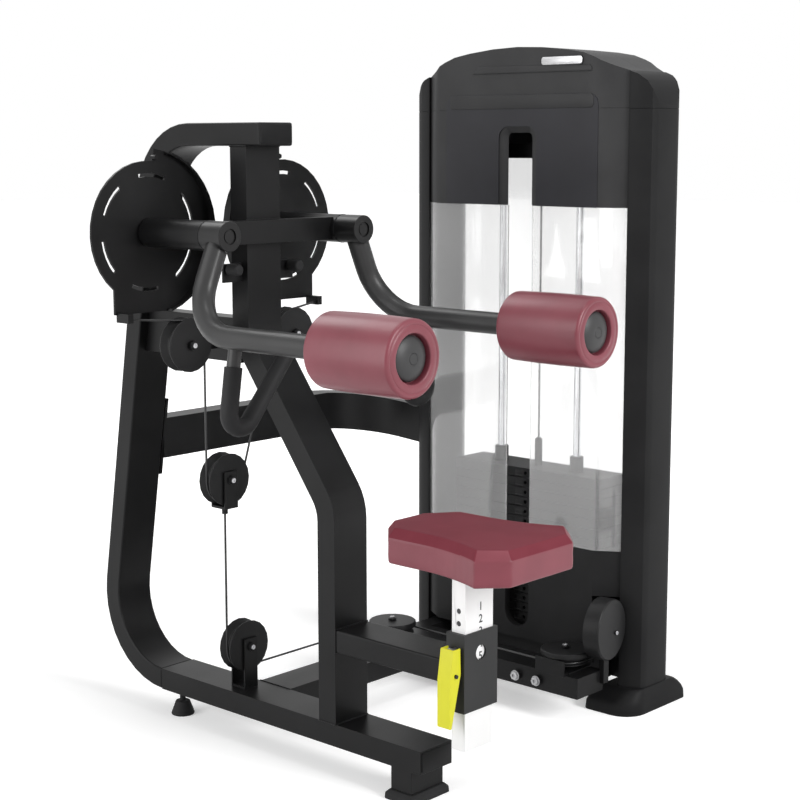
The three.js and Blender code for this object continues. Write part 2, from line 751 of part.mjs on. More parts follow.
// One side's outline is mirrored for the other side
function mirrored(geometry, side) {
  if (side > 0) {
    return geometry;
  }
  const flipped = geometry.clone().scale(-1, 1, 1);
  const solid = flipped.index ? flipped.toNonIndexed() : flipped;
  const position = solid.getAttribute("position");
  for (let i = 0; i < position.count; i += 3) {
    const b = new THREE.Vector3().fromBufferAttribute(position, i + 1);
    const c = new THREE.Vector3().fromBufferAttribute(position, i + 2);
    position.setXYZ(i + 1, c.x, c.y, c.z);
    position.setXYZ(i + 2, b.x, b.y, b.z);
  }
  const bare = new THREE.BufferGeometry();
  bare.setAttribute("position", position);
  return bare;
}

const shaftEnd = cam.front + cam.thick + overrun;
const gripStart = new THREE.Vector3(gripRoute.startX, gripY, gripRoute.startZ);
const gripTop = new THREE.Vector3(gripTopX, gripY, armRunZ);
const gripCorner = new THREE.Vector3(gripRoute.cornerX, gripY, gripRoute.cornerZ);
const gripEnd = new THREE.Vector3(gripRoute.endX, gripY, gripRoute.endZ);

function armGeometry() {
  const drop = roundedLine(
    [
      new THREE.Vector3(pivotX, armDropY, pivotZ),
      new THREE.Vector3(armRunX, armDropY, armRunZ),
      new THREE.Vector3(armRunX, armShoulderY, armRunZ),
    ],
    [armBend],
  );
  const collar = turned(
    [
      [0, hub.collarFront + hubPlug.deep / 2], [hubPlug.plug, hub.collarFront + hubPlug.deep / 2],
      [hubPlug.plug, hub.collarFront + hubPlug.deep], [hubPlug.recess, hub.collarFront + hubPlug.deep],
      [hubPlug.recess, hub.collarFront], [hub.radius - seam, hub.collarFront],
      [hub.radius, hub.collarFront + seam], [hub.radius, hub.seam - seatGap],
      [hub.shaft, hub.seam - seatGap], [hub.shaft, shaftEnd], [0, shaftEnd],
    ],
    "y", pivotX, 0, pivotZ,
  );
  const axle = bar(
    [armRunX, armShoulderY + overrun, armRunZ],
    [armRunX, roller.front + roller.recessDeep - runningGap, armRunZ],
    axleRadius, smallSides,
  );
  const stub = bar(gripTop.toArray(), gripStart.toArray(), stubRadius, smallSides);
  return joined(pipe(drop, armRadius, roundSides), collar, axle, stub);
}

function gripGeometry() {
  const down = gripCorner.clone().sub(gripStart).normalize();
  const start = gripStart.clone().addScaledVector(down, seatGap);
  const line = roundedLine([start, gripCorner, gripEnd], [gripBend], bendStep * gripStepShare);
  const tip = line.at(-1);
  const back = line.at(-2);
  line.pop();
  for (const share of gripEndShares) {
    const angle = (1 - share) * (Math.PI / 2);
    const at = tip.at.clone().addScaledVector(tip.along, gripRadius * (Math.sin(angle) - 1));
    line.push({ at, along: back.along, shrink: Math.cos(angle) });
  }
  return pipe(line, gripRadius, smallSides);
}

function rollerGeometry() {
  const bore = axleRadius + runningGap;
  const r = roller.radius;
  const profile = [
    [bore, roller.back], [r - roller.round, roller.back],
    ...arc(r - roller.round, roller.back - roller.round, roller.round, Math.PI / 2, 0, cornerStep)
      .map((p) => [p.x, p.y]).slice(1),
    [r + roller.crown, (roller.front + roller.back) / 2],
    ...arc(r - roller.round, roller.front + roller.round, roller.round, 0, -Math.PI / 2, cornerStep)
      .map((p) => [p.x, p.y]),
    [roller.recess + seam, roller.front], [roller.recess, roller.front + seam],
    [roller.recess - seam, roller.front + roller.recessDeep], [bore, roller.front + roller.recessDeep],
    [bore, roller.back],
  ];
  return turned(profile.reverse(), "y", armRunX, 0, armRunZ);
}

function rollerCapGeometry() {
  const back = roller.front + roller.recessDeep - runningGap - seatGap;
  const front = back - rollerCap.thick;
  const profile = [
    [0, front - rollerCap.dome],
    ...domeShares.map(({ r, h }) => [rollerCap.radius * r, front - rollerCap.dome * h]),
    [rollerCap.radius - seam, front],
    [rollerCap.radius, front + seam], [rollerCap.radius, back], [0, back],
  ];
  return turned(profile, "y", armRunX, 0, armRunZ);
}

// A cam: two radii, a square tab for the cable's end, arc slots and a rim that carries the cable
function camGeometry() {
  const stepAngle = Math.PI - camStepShare * Math.PI;
  const bottomAngle = Math.asin(-camTab.bottom / cam.inner);
  const bottomMeet = -Math.PI - bottomAngle;
  const tabTop = Math.acos(camTab.half / cam.outer);
  const x = pivotX;
  const z = pivotZ;
  const outline = [
    ...arc(x, z, cam.outer, -tabTop, stepAngle),
    ...arc(x, z, cam.inner, stepAngle, 2 * Math.PI + bottomMeet),
    point(x + camTab.half, z - camTab.bottom),
  ];
  const slots = Array.from({ length: camSlot.count }, (_, i) => {
    const middle = stepAngle + (2 * Math.PI * i) / camSlot.count;
    const reach = camSlotShare * Math.PI;
    const wide = camSlot.wide / 2;
    return [
      ...arc(x, z, camSlot.radius + wide, middle - reach, middle + reach),
      ...arc(x, z, camSlot.radius - wide, middle + reach, middle - reach),
    ];
  });
  const bore = disc(x, z, hub.shaft + seatGap);
  const plate = slab(outline, "y", cam.front, cam.front + cam.thick, [...slots, bore]);
  const rimOuter = cam.inner;
  const rimInner = cam.inner - cam.rimThick;
  const rimOutline = [
    ...arc(x, z, rimOuter, stepAngle + bendStep, 2 * Math.PI + bottomMeet),
    ...arc(x, z, rimInner, 2 * Math.PI + bottomMeet, stepAngle + bendStep),
  ];
  const rim = slab(rimOutline, "y", cam.front - cam.rimDeep, cam.front + cam.thick / 2);
  const lug = block(
    x + cableLug.x - cableLug.half, x + cableLug.x + cableLug.half,
    cableLug.front, cam.front + cam.thick / 2,
    z - cableLug.z - cableLug.half, z - camTab.bottom + overrun,
  );
  const boltX = x + camBolt.at * Math.cos(stepAngle);
  const boltZ = z + camBolt.at * Math.sin(stepAngle);
  const bolt = bar(
    [boltX, cam.front - camBolt.long, boltZ], [boltX, cam.front + cam.thick / 2, boltZ],
    camBolt.radius, hexSides,
  );
  return joined(plate, rim, lug, bolt);
}

for (const [name, side] of [["left", -1], ["right", 1]]) {
  place(`${name}_arm`, mirrored(armGeometry(), side), frameBlack);
  place(`${name}_cam`, mirrored(camGeometry(), side), frameBlack);
  place(`${name}_grip`, mirrored(gripGeometry(), side), rubberBlack);
  place(`${name}_roller_pad`, mirrored(rollerGeometry(), side), burgundy);
  place(`${name}_roller_cap`, mirrored(rollerCapGeometry(), side), plasticBlack);
}

// Pulleys
function sheaveProfile(rim, wrapRadius, wide) {
  const bore = pulley.axle + runningGap;
  const groove = wrapRadius - cableRadius - grooveGap;
  const lip = pulley.lip;
  const w = wide / 2;
  return [
    [bore, -w], [rim - seam, -w], [rim, -w + seam], [rim, -w + lip],
    [groove, -cableRadius], [groove, cableRadius],
    [rim, w - lip], [rim, w - seam], [rim - seam, w], [bore, w], [bore, -w],
  ];
}
const standardPulley = (x, z) => turned(sheaveProfile(pulley.rim, wrap, pulley.wide), "y", x, planeY, z);
place("left_upper_pulley", standardPulley(-upperPulley.x, upperPulley.z), plasticBlack);
place("right_upper_pulley", standardPulley(upperPulley.x, upperPulley.z), plasticBlack);
place("floating_pulley", standardPulley(floatPulley.x, floatPulley.z), plasticBlack);
place("bottom_pulley", standardPulley(0, bottomPulleyZ), plasticBlack);

const clevisBase = block(
  floatPulley.x - bracketHalf, floatPulley.x + bracketHalf, planeY - cheekOut, planeY + cheekOut,
  floatClevis.bottom, floatClevis.bottom + floatClevis.thick,
);
const clevisStud = bar(
  [floatPulley.x, planeY, floatClevis.studBottom],
  [floatPulley.x, planeY, floatClevis.bottom + overrun / 2],
  floatClevis.stud, smallSides,
);
place(
  "floating_clevis",
  joined(
    pulleyCheeks(floatPulley.x, floatPulley.z, floatClevis.bottom, floatPulley.z + bracketHalf),
    clevisBase,
    clevisStud,
  ),
  frameBlack,
);

// Low beams between the side frame and the tower
const cornerTop = cornerPulleyZ + cornerSheaveWide / 2 + cornerDisc.gap;
function cornerBracket(x, y, withWeb) {
  const t = cornerPlate.thick;
  const h = cornerPlate.half;
  const bottom = block(x - h, x + h, y - h, y + h, beamTop - overrun, beamTop + t);
  const axle = bar([x, y, beamTop], [x, y, cornerTop + cornerDisc.thick + seam], pulley.axle, smallSides);
  const headZ = cornerTop + cornerDisc.thick + seam;
  const head = bar([x, y, headZ], [x, y, headZ + pulley.boltTall], pulley.boltHead, hexSides);
  if (!withWeb) {
    return [bottom, axle, head];
  }
  const webX = x - pulley.rim + overrun;
  const web = block(webX - t, webX, y - h + t, y + h, beamTop - overrun, cornerTop);
  const floor = block(webX - t, x, y - h + t, y + h, beamTop - overrun, beamTop + t);
  return [bottom, axle, head, web, floor];
}
const crossBox = block(half, towerBeamNear, crossFront, crossFront + crossWide, floorClearance, beamTop);
place("base_cross_beam", joined(crossBox, ...cornerBracket(backCorner.x, backCorner.y, false)), frameBlack);

const towerBeamFar = towerBeamNear + towerBeamWide;
const soleNear = towerX - sole.half;
const linkBoxes = linkFronts.map((y) =>
  block(towerBeamFar - overrun, soleNear, y, y + linkWide, floorClearance, beamTop),
);
const towerBeamBox = block(
  towerBeamNear, towerBeamFar, towerBeamFront, towerBeamBack, floorClearance, beamTop,
);
const baseBolts = baseBolt.y.map((y) =>
  bar(
    [towerBeamNear - baseBolt.tall, y, baseBolt.z], [towerBeamNear + overrun, y, baseBolt.z],
    baseBolt.radius, hexSides,
  ),
);
const liftY = frontCorner.y - wrap;
const liftPlate = block(
  lift.x - bracketHalf, lift.x + bracketHalf, lift.plate, lift.plate + pulley.cheek,
  beamTop - overrun, lift.z + bracketHalf,
);
const liftAxle = bar(
  [lift.x, liftY - lift.wide / 2, lift.z], [lift.x, lift.plate + pulley.cheek / 2, lift.z],
  pulley.axle, smallSides,
);
const guardStayBox = block(
  guard.x - guardStay.half, guard.x + guardStay.half,
  towerBeamFront - guardStay.long, towerBeamFront + overrun,
  guardStay.bottom, guard.z - guard.radius - seatGap,
);
place(
  "tower_base_beam",
  joined(
    towerBeamBox, ...linkBoxes, ...cornerBracket(frontCorner.x, frontCorner.y, true),
    ...baseBolts, liftPlate, liftAxle, guardStayBox,
  ),
  frameBlack,
);

function cornerPulley(x, y) {
  const bore = pulley.axle + runningGap;
  const groove = wrap - cableRadius - grooveGap;
  const w = cornerSheaveWide / 2;
  const top = w + cornerDisc.gap;
  const r = pulley.rim - cornerDisc.inset;
  const round = cornerDisc.round;
  const profile = [
    [bore, -w], [r, -w], [r, -w + round], [groove, -cableRadius], [groove, cableRadius],
    [r, w - round], [r, top], [pulley.rim - round, top], [pulley.rim, top + round],
    [pulley.rim, top + cornerDisc.thick - round], [pulley.rim - round, top + cornerDisc.thick],
    [bore, top + cornerDisc.thick], [bore, -w],
  ];
  return turned(profile, "z", x, y, cornerPulleyZ);
}
place("back_corner_pulley", cornerPulley(backCorner.x, backCorner.y), plasticBlack);
place("front_corner_pulley", cornerPulley(frontCorner.x, frontCorner.y), plasticBlack);

// Brace from the leg to the tower's back post: flat, bent forward at its end and lowered as it bends
const braceMiddle = legFrontAt(flangeMiddle) + braceThick / 2;
const braceStart = half + flangeThick;
const braceEnd = towerY + postFace + seatGap;
const braceLine = roundedLine(
  [
    new THREE.Vector3(braceStart - overrun, braceMiddle, braceBottom),
    new THREE.Vector3(braceEndX + braceThick / 2, braceMiddle, braceBottom),
    new THREE.Vector3(braceEndX + braceThick / 2, braceEnd, braceBottom),
  ],
  [braceInnerBend + braceThick / 2],
);
const bendFirst = braceLine[1].at.x;
const braceReach = braceEndX - bendFirst + braceMiddle - braceEnd;
const braceRings = braceLine.map(({ at, along }) => {
  const across = new THREE.Vector3(-along.y, along.x, 0).multiplyScalar(braceThick / 2);
  const share = Math.max(0, at.x - bendFirst + (braceMiddle - at.y)) / braceReach;
  const low = at.clone();
  low.z -= braceDrop * share;
  const high = low.clone();
  high.z += braceTall;
  return [
    low.clone().add(across), low.clone().sub(across), high.clone().sub(across), high.clone().add(across),
  ];
});
const flangeBottom = flangeMiddle - flangeTall / 2;
const flangeTop = flangeMiddle + flangeTall / 2;
const legDeep = tubeThick / Math.cos(legLean);
const flangeOutline = [
  point(legFrontAt(flangeBottom), flangeBottom),
  point(legFrontAt(flangeBottom) + legDeep, flangeBottom),
  point(legFrontAt(flangeTop) + legDeep, flangeTop),
  point(legFrontAt(flangeTop), flangeTop),
];
place(
  "brace",
  joined(loft(braceRings), slab(flangeOutline, "x", half + seatGap, braceStart)),
  frameBlack,
);

// Tower posts with their caps
const mirrorPlan = (points) => [...points, ...points.map((p) => point(-p.x, p.y)).reverse()];
const roofOutline = (drop) => {
  const half = roofShares.map(({ y, z }) => point((postFace - drop) * y, capSeam + roofTall * z - drop));
  const right = half.map((p) => point(towerY + p.x, p.y));
  const left = half.slice(0, -1).map((p) => point(towerY - p.x, p.y));
  return [...right, ...left.reverse()];
};
function roofSolid(drop, bottom, reach) {
  const outline = roofOutline(drop);
  const first = outline[0];
  const last = outline.at(-1);
  outline.push(point(last.x, bottom), point(first.x, bottom));
  return slab(outline, "x", towerX - reach, towerX + reach);
}
function postPlan(end, inset = 0) {
  const deep = postFace - postBack;
  const near = [point(postHalf - inset, postBack)];
  near.push(...postTurnShares.map(({ x, y }) => point(postHalf * x - inset, postBack + deep * y - inset)));
  near.push(point(postFaceHalf, postFace - inset));
  const outline = mirrorPlan(near).map((p) => point(towerX + p.x, towerY + end * p.y));
  return end > 0 ? outline : outline.reverse();
}
function towerPost(end) {
  const column = slab(postPlan(end), "z", foot.tall, capSeam);
  const neck = slab(postPlan(end, seam), "z", capSeam - overrun, capSeam + overrun);
  const capBlock = slab(postPlan(end), "z", capSeam + seam, capSeam + roofTall);
  const cap = common(capBlock, roofSolid(0, capSeam - overrun, coverHalf));
  return joined(column, neck, cap);
}
place("front_tower_post", towerPost(-1), frameBlack);
place("back_tower_post", towerPost(1), frameBlack);

// Tower feet: a low plastic shroud, rounder at its outer near corner
function footRing(end, { draw, z }) {
  const x1 = -foot.half + footDraw.side * draw;
  const x2 = foot.half - footDraw.side * draw;
  const y1 = foot.front + footDraw.front * draw;
  const y2 = foot.back - footDraw.back * draw;
  const big = foot.corner - footDraw.side * draw * footRoundShare;
  const small = foot.squareCorner;
  const corners = [
    ...arc(x1 + big, y1 + big, big, Math.PI, 1.5 * Math.PI, cornerStep / 2),
    ...arc(x2 - small, y1 + small, small, 1.5 * Math.PI, 2 * Math.PI, cornerStep),
    ...arc(x2 - small, y2 - small, small, 0, Math.PI / 2, cornerStep),
    ...arc(x1 + small, y2 - small, small, Math.PI / 2, Math.PI, cornerStep),
  ];
  const level = foot.tall * z;
  const ring = corners.map((p) => new THREE.Vector3(towerX + p.x, end < 0 ? p.y : 2 * towerY - p.y, level));
  return end < 0 ? ring : ring.reverse();
}
for (const [name, end] of [["front", -1], ["back", 1]]) {
  place(`${name}_tower_foot`, loft(footRingShares.map((ring) => footRing(end, ring))), plasticBlack);
}
place(
  "tower_sole_beam",
  block(
    soleNear + seatGap, towerX + sole.half, towerY - postBack + seatGap, towerY + postBack - seatGap,
    floorClearance, beamTop,
  ),
  frameBlack,
);

// Covers: two clear shields in front, one behind, black covers below them and a black cap above
function coverPlan(inset) {
  const end = coverEnd;
  const near = [
    point(-coverEndHalf + inset, -end), point(-coverHalf + inset, -coverRidge),
    point(-coverHalf + inset, coverRidge), point(-coverEndHalf + inset, end),
  ];
  return near.map((p) => point(towerX + p.x, towerY + p.y));
}
function coverWall(side, bottom, top) {
  const outline = [...coverPlan(0), ...coverPlan(skin).reverse()];
  const near = outline.map((p) => point(side < 0 ? p.x : 2 * towerX - p.x, p.y));
  return slab(side < 0 ? near.reverse() : near, "z", bottom, top);
}
// The slot down the middle of the near side. Its upper end is in the top cover, its round lower end in the
// lower cover, and both outlines are open at the level where the shields begin.
function slotHead(middle, half, top, round, open) {
  const y1 = middle - half;
  const y2 = middle + half;
  return [
    point(y1, open), point(y2, open),
    ...arc(y2 - round, top - round, round, 0, Math.PI / 2, cornerStep / 2),
    ...arc(y1 + round, top - round, round, Math.PI / 2, Math.PI, cornerStep / 2),
  ];
}
function slotTail(grow, open) {
  const middle = (shieldEdge.front + shieldEdge.back) / 2;
  const radius = (shieldEdge.back - shieldEdge.front) / 2 + grow;
  return [
    ...arc(middle, slotBottom + radius - grow, radius, Math.PI, 2 * Math.PI, cornerStep / 2),
    point(middle + radius, open), point(middle - radius, open),
  ];
}
const nearFace = towerX - coverHalf;
const slotFrom = nearFace - overrun - placard.thick;
const slotTo = nearFace + 2 * skin;
const stripCut = block(
  nearFace + seatGap, towerX, towerY - coverEnd - overrun, towerY - coverRidge + skin / 2,
  lowerCoverBottom - overrun, stripNotchTop,
);
const lowerTop = shieldBottom - seatGap;
const lipSolid = slab(slotTail(skin, lowerTop), "x", nearFace, nearFace + lipDeep);
const lipBore = slab(slotTail(0, lowerTop + overrun), "x", slotFrom, nearFace + lipDeep + overrun);
place(
  "near_lower_cover",
  cut(joined(cut(coverWall(-1, lowerCoverBottom, lowerTop), stripCut), lipSolid), lipBore),
  coverBlack,
);
place("far_lower_cover", coverWall(1, lowerCoverBottom, lowerTop), coverBlack);
const nearShield = coverWall(-1, shieldBottom, shieldTop - seatGap);
const frontHalf = block(
  nearFace - overrun, towerX, towerY - postBack, shieldEdge.front,
  shieldBottom - overrun, shieldTop + overrun,
);
const backHalf = block(
  nearFace - overrun, towerX, shieldEdge.back, towerY + postBack,
  shieldBottom - overrun, shieldTop + overrun,
);
place("near_shield_front", common(nearShield, frontHalf), clearPlastic);
place("near_shield_back", common(nearShield, backHalf), clearPlastic);
place("far_shield", coverWall(1, shieldBottom, farShieldTop - seatGap), clearPlastic);

function coverBlock(inset, bottom, top) {
  const near = coverPlan(inset);
  const far = near.map((p) => point(2 * towerX - p.x, p.y)).reverse();
  return slab([...near, ...far].reverse(), "z", bottom, top);
}
const roofTop = capSeam + roofTall + overrun;
const coverOuter = common(
  coverBlock(0, shieldTop, roofTop),
  roofSolid(0, shieldTop - overrun, coverHalf + overrun),
);
const coverInner = common(
  coverBlock(skin, shieldTop - overrun, roofTop),
  roofSolid(skin, shieldTop - 2 * overrun, coverHalf + overrun),
);
// The cap's shell is made in two halves. The far one ends higher up, above its taller shield.
const coverShell = cut(coverOuter, coverInner);
const farHalf = block(
  towerX, towerX + coverHalf + overrun, towerY - coverEnd - overrun, towerY + coverEnd + overrun,
  shieldTop - overrun, roofTop,
);
const farCover = block(
  towerX + seatGap, towerX + coverHalf + overrun, towerY - coverEnd - overrun, towerY + coverEnd + overrun,
  farShieldTop, roofTop,
);
place("far_top_cover", common(coverShell, farCover), coverBlack);

// The recess round the slot: sloping walls from the cover's face back to a smaller opening
const headOutline = (x, grow, open) => {
  const share = (x - nearFace) / recess.deep;
  const half = recess.half - recess.slope * share + grow;
  const top = slotTop - recess.topSlope * share + grow;
  const round = slotRound + (recess.innerRound - slotRound) * share + grow;
  return slotHead(recess.middle, half, top, round, open).map((p) => new THREE.Vector3(x, p.x, p.y));
};
const recessBack = nearFace + recess.deep;
const funnel = loft([
  headOutline(nearFace, recess.wall, shieldTop), headOutline(recessBack, recess.wall, shieldTop),
]);
const openLow = shieldTop - overrun;
const funnelBore = loft([
  headOutline(nearFace - overrun, 0, openLow), headOutline(recessBack + overrun, 0, openLow),
]);
const badgeY = towerY - coverRidge * badgeForwardShare;
const badgeZ = capSeam + roofTall * badgeRiseShare;
const badgeRound = (turn, side, up) => {
  const y = badgeY + side * (badge.half - badge.round);
  const z = badgeZ + up * (badge.tall / 2 - badge.round);
  return arc(y, z, badge.round, (turn * Math.PI) / 2, ((turn + 1) * Math.PI) / 2, cornerStep / 2);
};
const badgeOutline = [
  ...badgeRound(0, 1, 1), ...badgeRound(1, -1, 1), ...badgeRound(2, -1, -1), ...badgeRound(3, 1, -1),
];
place(
  "top_cover",
  cut(
    joined(
      cut(coverShell, farHalf),
      funnel,
      slab(badgeOutline, "x", nearFace - badge.thick, nearFace + skin / 2),
    ),
    funnelBore,
  ),
  coverBlack,
);
const placardRoundY = placard.half - placard.round;
const placardRoundZ = placard.top - placard.round;
const placardOutline = [
  point(placard.y - placard.half, shieldTop), point(placard.y + placard.half, shieldTop),
  ...arc(placard.y + placardRoundY, placardRoundZ, placard.round, 0, Math.PI / 2, cornerStep),
  ...arc(placard.y - placardRoundY, placardRoundZ, placard.round, Math.PI / 2, Math.PI, cornerStep),
];
place(
  "placard",
  cut(
    slab(placardOutline, "x", nearFace - placard.thick, nearFace),
    slab(slotHead(recess.middle, recess.half, slotTop, slotRound, openLow), "x", slotFrom, slotTo),
  ),
  placardBlue,
);

// Head beam with the two pulleys that turn the cable down to the stack
const runStart = new THREE.Vector2(lift.x + lift.wrap, liftY);
const runEnd = new THREE.Vector2(towerX, towerY);
const runLong = runStart.distanceTo(runEnd);
const runAngle = runEnd.clone().sub(runStart).angle();
// Turns a piece made along X from the run's start into the run's own direction
function alongRun(geometry) {
  return geometry.rotateZ(runAngle).translate(runStart.x, runStart.y, 0);
}
const headTop = headBeam.bottom + headBeam.tall;
const headWheels = [wrap, runLong - wrap];
const plateIn = headPulley.wide / 2 + sheaveGap;
const headPlates = headWheels.map((s) => {
  const plate = block(
    s - headPulley.plateHalf, s + headPulley.plateHalf, -plateIn - pulley.cheek, -plateIn,
    headTop - overrun, headPulley.z + headPulley.plateHalf,
  );
  const axle = bar(
    [s, -plateIn - pulley.cheek / 2, headPulley.z], [s, plateIn, headPulley.z], pulley.axle, smallSides,
  );
  return alongRun(joined(plate, axle));
});
const headBox = block(
  towerX - headBeam.half, towerX + headBeam.half,
  towerY - postBack + seatGap, towerY + postBack - seatGap,
  headBeam.bottom, headTop,
);
const cableHole = bar(
  [towerX, towerY, headBeam.bottom - overrun], [towerX, towerY, headTop + overrun],
  headBeam.hole, smallSides,
);
place("head_beam", joined(cut(headBox, cableHole), ...headPlates), frameBlack);
["front", "back"].forEach((name, i) => {
  const sheave = sheaveProfile(pulley.rim, wrap, headPulley.wide);
  place(`${name}_head_pulley`, alongRun(turned(sheave, "y", headWheels[i], 0, headPulley.z)), plasticBlack);
});

// Pulley that turns the cable up into the tower, and the round guard in front of it
place(
  "tower_pulley",
  turned(sheaveProfile(lift.rim, lift.wrap, lift.wide), "y", lift.x, liftY, lift.z),
  plasticBlack,
);
const guardIn = guard.radius - guard.wall;
const guardShell = turned(
  [
    [0, 0], [guardIn, 0], [guard.radius, guard.wall], [guard.radius, guard.deep],
    [guardIn, guard.deep], [guardIn, guard.wall], [0, guard.wall],
  ],
  "y", 0, 0, 0, 2 * roundSides,
);
const guardBoltHead = bar(
  [guardBolt.x, -guardBolt.tall, guardBolt.z], [guardBolt.x, seam, guardBolt.z], guardBolt.radius, hexSides,
);
const guardPlaced = joined(guardShell, guardBoltHead);
guardPlaced.rotateZ(guardTurnShare * Math.PI).translate(guard.x, guard.y, guard.z);
place(
  "tower_pulley_guard",
  cut(
    guardPlaced,
    block(
      lift.x - lift.rim - sheaveGap, lift.x, liftY - lift.wide / 2 - sheaveGap, lift.plate,
      guard.z - guard.radius - overrun, guard.z + guard.radius + overrun,
    ),
    block(
      lift.x, towerX, liftY - lift.wide / 2 - sheaveGap, lift.plate,
      guard.z - guard.radius - overrun, guard.z + guard.radius + overrun,
    ),
  ),
  plasticBlack,
);

// Guide rods with the buffers that the stack rests on
for (const [name, end] of [["front", -1], ["back", 1]]) {
  place(
    `${name}_guide_rod`,
    turned(
      [
        [0, beamTop], [buffer.radius, beamTop], [buffer.radius, stack.bottom - seatGap],
        [rod.radius, stack.bottom - seatGap], [rod.radius, headBeam.bottom], [0, headBeam.bottom],
      ],
      "z", towerX, towerY + end * rod.spacing, 0, smallSides,
    ),
    steel,
  );
}

// Weight plates: a core that is a little smaller than the plates leaves a groove between them
function plates(top, count) {
  const bottom = top - count * stack.pitch;
  const pieces = Array.from({ length: count }, (_, i) => {
    const z = top - i * stack.pitch;
    return block(
      towerX - stack.half, towerX + stack.half, towerY - stack.halfLong, towerY + stack.halfLong,
      z - stack.pitch + stack.groove, z,
    );
  });
  const inset = stack.inset;
  pieces.push(
    block(
      towerX - stack.half + inset, towerX + stack.half - inset,
      towerY - stack.halfLong + inset, towerY + stack.halfLong - inset,
      bottom, top - overrun,
    ),
  );
  return pieces;
}
function rodHoles(bottom, top) {
  return [-1, 1].map((end) => {
    const y = towerY + end * rod.spacing;
    return bar([towerX, y, bottom - overrun], [towerX, y, top + overrun], rod.radius + rod.gap, smallSides);
  });
}
function pinHoles(top, count) {
  return Array.from({ length: count }, (_, i) => {
    const z = top - (i + 1 / 2) * stack.pitch;
    const x = towerX - stack.half;
    return bar([x - overrun, towerY, z], [x + pinHole.deep, towerY, z], pinHole.radius, pinHole.sides);
  });
}
const restingTop = stackTop - liftedCount * stack.pitch;
const restingCount = plateCount - liftedCount;
place(
  "resting_stack",
  cut(
    joined(...plates(restingTop - seatGap, restingCount)),
    ...rodHoles(stack.bottom, restingTop),
    ...pinHoles(restingTop - seatGap, restingCount),
  ),
  ironBlack,
);
const bushings = [-1, 1].map((end) => {
  const y = towerY + end * rod.spacing;
  return bar([towerX, y, stackTop - overrun], [towerX, y, stackTop + bushing.tall], bushing.radius);
});
const stemBody = turned(
  [
    [0, stackTop - overrun], [stem.radius, stackTop - overrun],
    [stem.radius, stackTop + stem.tall - stem.taper],
    [stem.radius - stem.taper, stackTop + stem.tall], [0, stackTop + stem.tall],
  ],
  "z", towerX, towerY, 0, smallSides,
);
place(
  "lifted_stack",
  cut(
    joined(...plates(stackTop, liftedCount), ...bushings, stemBody),
    ...rodHoles(restingTop, stackTop + bushing.tall),
    ...pinHoles(stackTop, liftedCount),
  ),
  ironBlack,
);
const selectorZ = restingTop + stack.pitch / 2;
const stackNear = towerX - stack.half;
place(
  "selector_pin",
  joined(
    bar(
      [selector.knobFront + overrun, towerY, selectorZ], [stackNear + selector.reach, towerY, selectorZ],
      selector.shaft, smallSides,
    ),
    bar(
      [selector.knobFront, towerY, selectorZ], [selector.knobFront + selector.knobLong, towerY, selectorZ],
      selector.knob, roundSides,
    ),
  ),
  yellow,
);

// Cables. A free end and each wheel are stated in the plane that the cable lies in there.
function tangentPoints(first, second) {
  const d = point(second.a - first.a, second.b - first.b);
  const angle = d.angle() + Math.acos((second.r * second.turn - first.r * first.turn) / d.length());
  const normal = point(Math.cos(angle), Math.sin(angle));
  return [first, second].map((w) => point(w.a - normal.x * w.r * w.turn, w.b - normal.y * w.r * w.turn));
}
function wheelArc(wheel, from, to) {
  const start = Math.atan2(from.y - wheel.b, from.x - wheel.a);
  let end = Math.atan2(to.y - wheel.b, to.x - wheel.a);
  while ((end - start) * wheel.turn < 0) {
    end += 2 * Math.PI * wheel.turn;
  }
  return arc(wheel.a, wheel.b, wheel.r, start, end, 2 * bendStep);
}
function tracked(points) {
  return points.map((at, i) => {
    const before = points[Math.max(0, i - 1)];
    const after = points[Math.min(points.length - 1, i + 1)];
    const back = at.clone().sub(before).normalize();
    const ahead = after.clone().sub(at).normalize();
    return { at, along: back.add(ahead).normalize() };
  });
}
const cableSides = 8;

const lugX = pivotX + cableLug.x - cableLug.half - cableEndGap;
const lugZ = pivotZ - cableLug.z;
const end = (a, b) => ({ a, b, r: 0, turn: 1 });
const wheel = (a, b, turn, r = wrap) => ({ a, b, r, turn });
const armRoute = [
  end(-lugX, lugZ),
  wheel(-upperPulley.x, upperPulley.z, -1),
  wheel(floatPulley.x, floatPulley.z, 1),
  wheel(upperPulley.x, upperPulley.z, -1),
  end(lugX, lugZ),
];
const armSpans = armRoute.slice(1).map((item, i) => tangentPoints(armRoute[i], item));
const armPoints = armRoute.flatMap((item, i) => {
  if (item.r === 0) {
    return [new THREE.Vector3(item.a, cableLug.cableY, item.b)];
  }
  return wheelArc(item, armSpans[i - 1][1], armSpans[i][0]).map((p) => new THREE.Vector3(p.x, planeY, p.y));
});
place("arm_cable", pipe(tracked(armPoints), cableRadius, cableSides), rubberBlack);

const studEnd = end(floatPulley.x, floatClevis.studBottom - seatGap);
const lowWheel = wheel(0, bottomPulleyZ, 1);
const backWheel = wheel(backCorner.x, backCorner.y, -1);
const frontWheel = wheel(frontCorner.x, frontCorner.y, 1);
const liftWheel = wheel(lift.x, lift.z, 1, lift.wrap);
const lowIn = tangentPoints(studEnd, lowWheel)[1];
const lowOut = tangentPoints(lowWheel, end(backCorner.x, cornerPulleyZ))[0];
const backIn = tangentPoints(end(lowOut.x, planeY), backWheel)[1];
const cornerSpan = tangentPoints(backWheel, frontWheel);
const frontOut = point(frontCorner.x, frontCorner.y - wrap);
const liftIn = point(lift.x, lift.z - lift.wrap);
const liftOut = point(lift.x + lift.wrap, lift.z);
const inRun = (s, z) => {
  const at = runStart.clone().add(runEnd.clone().sub(runStart).multiplyScalar(s / runLong));
  return new THREE.Vector3(at.x, at.y, z);
};
const headFirst = wheel(headWheels[0], headPulley.z, -1);
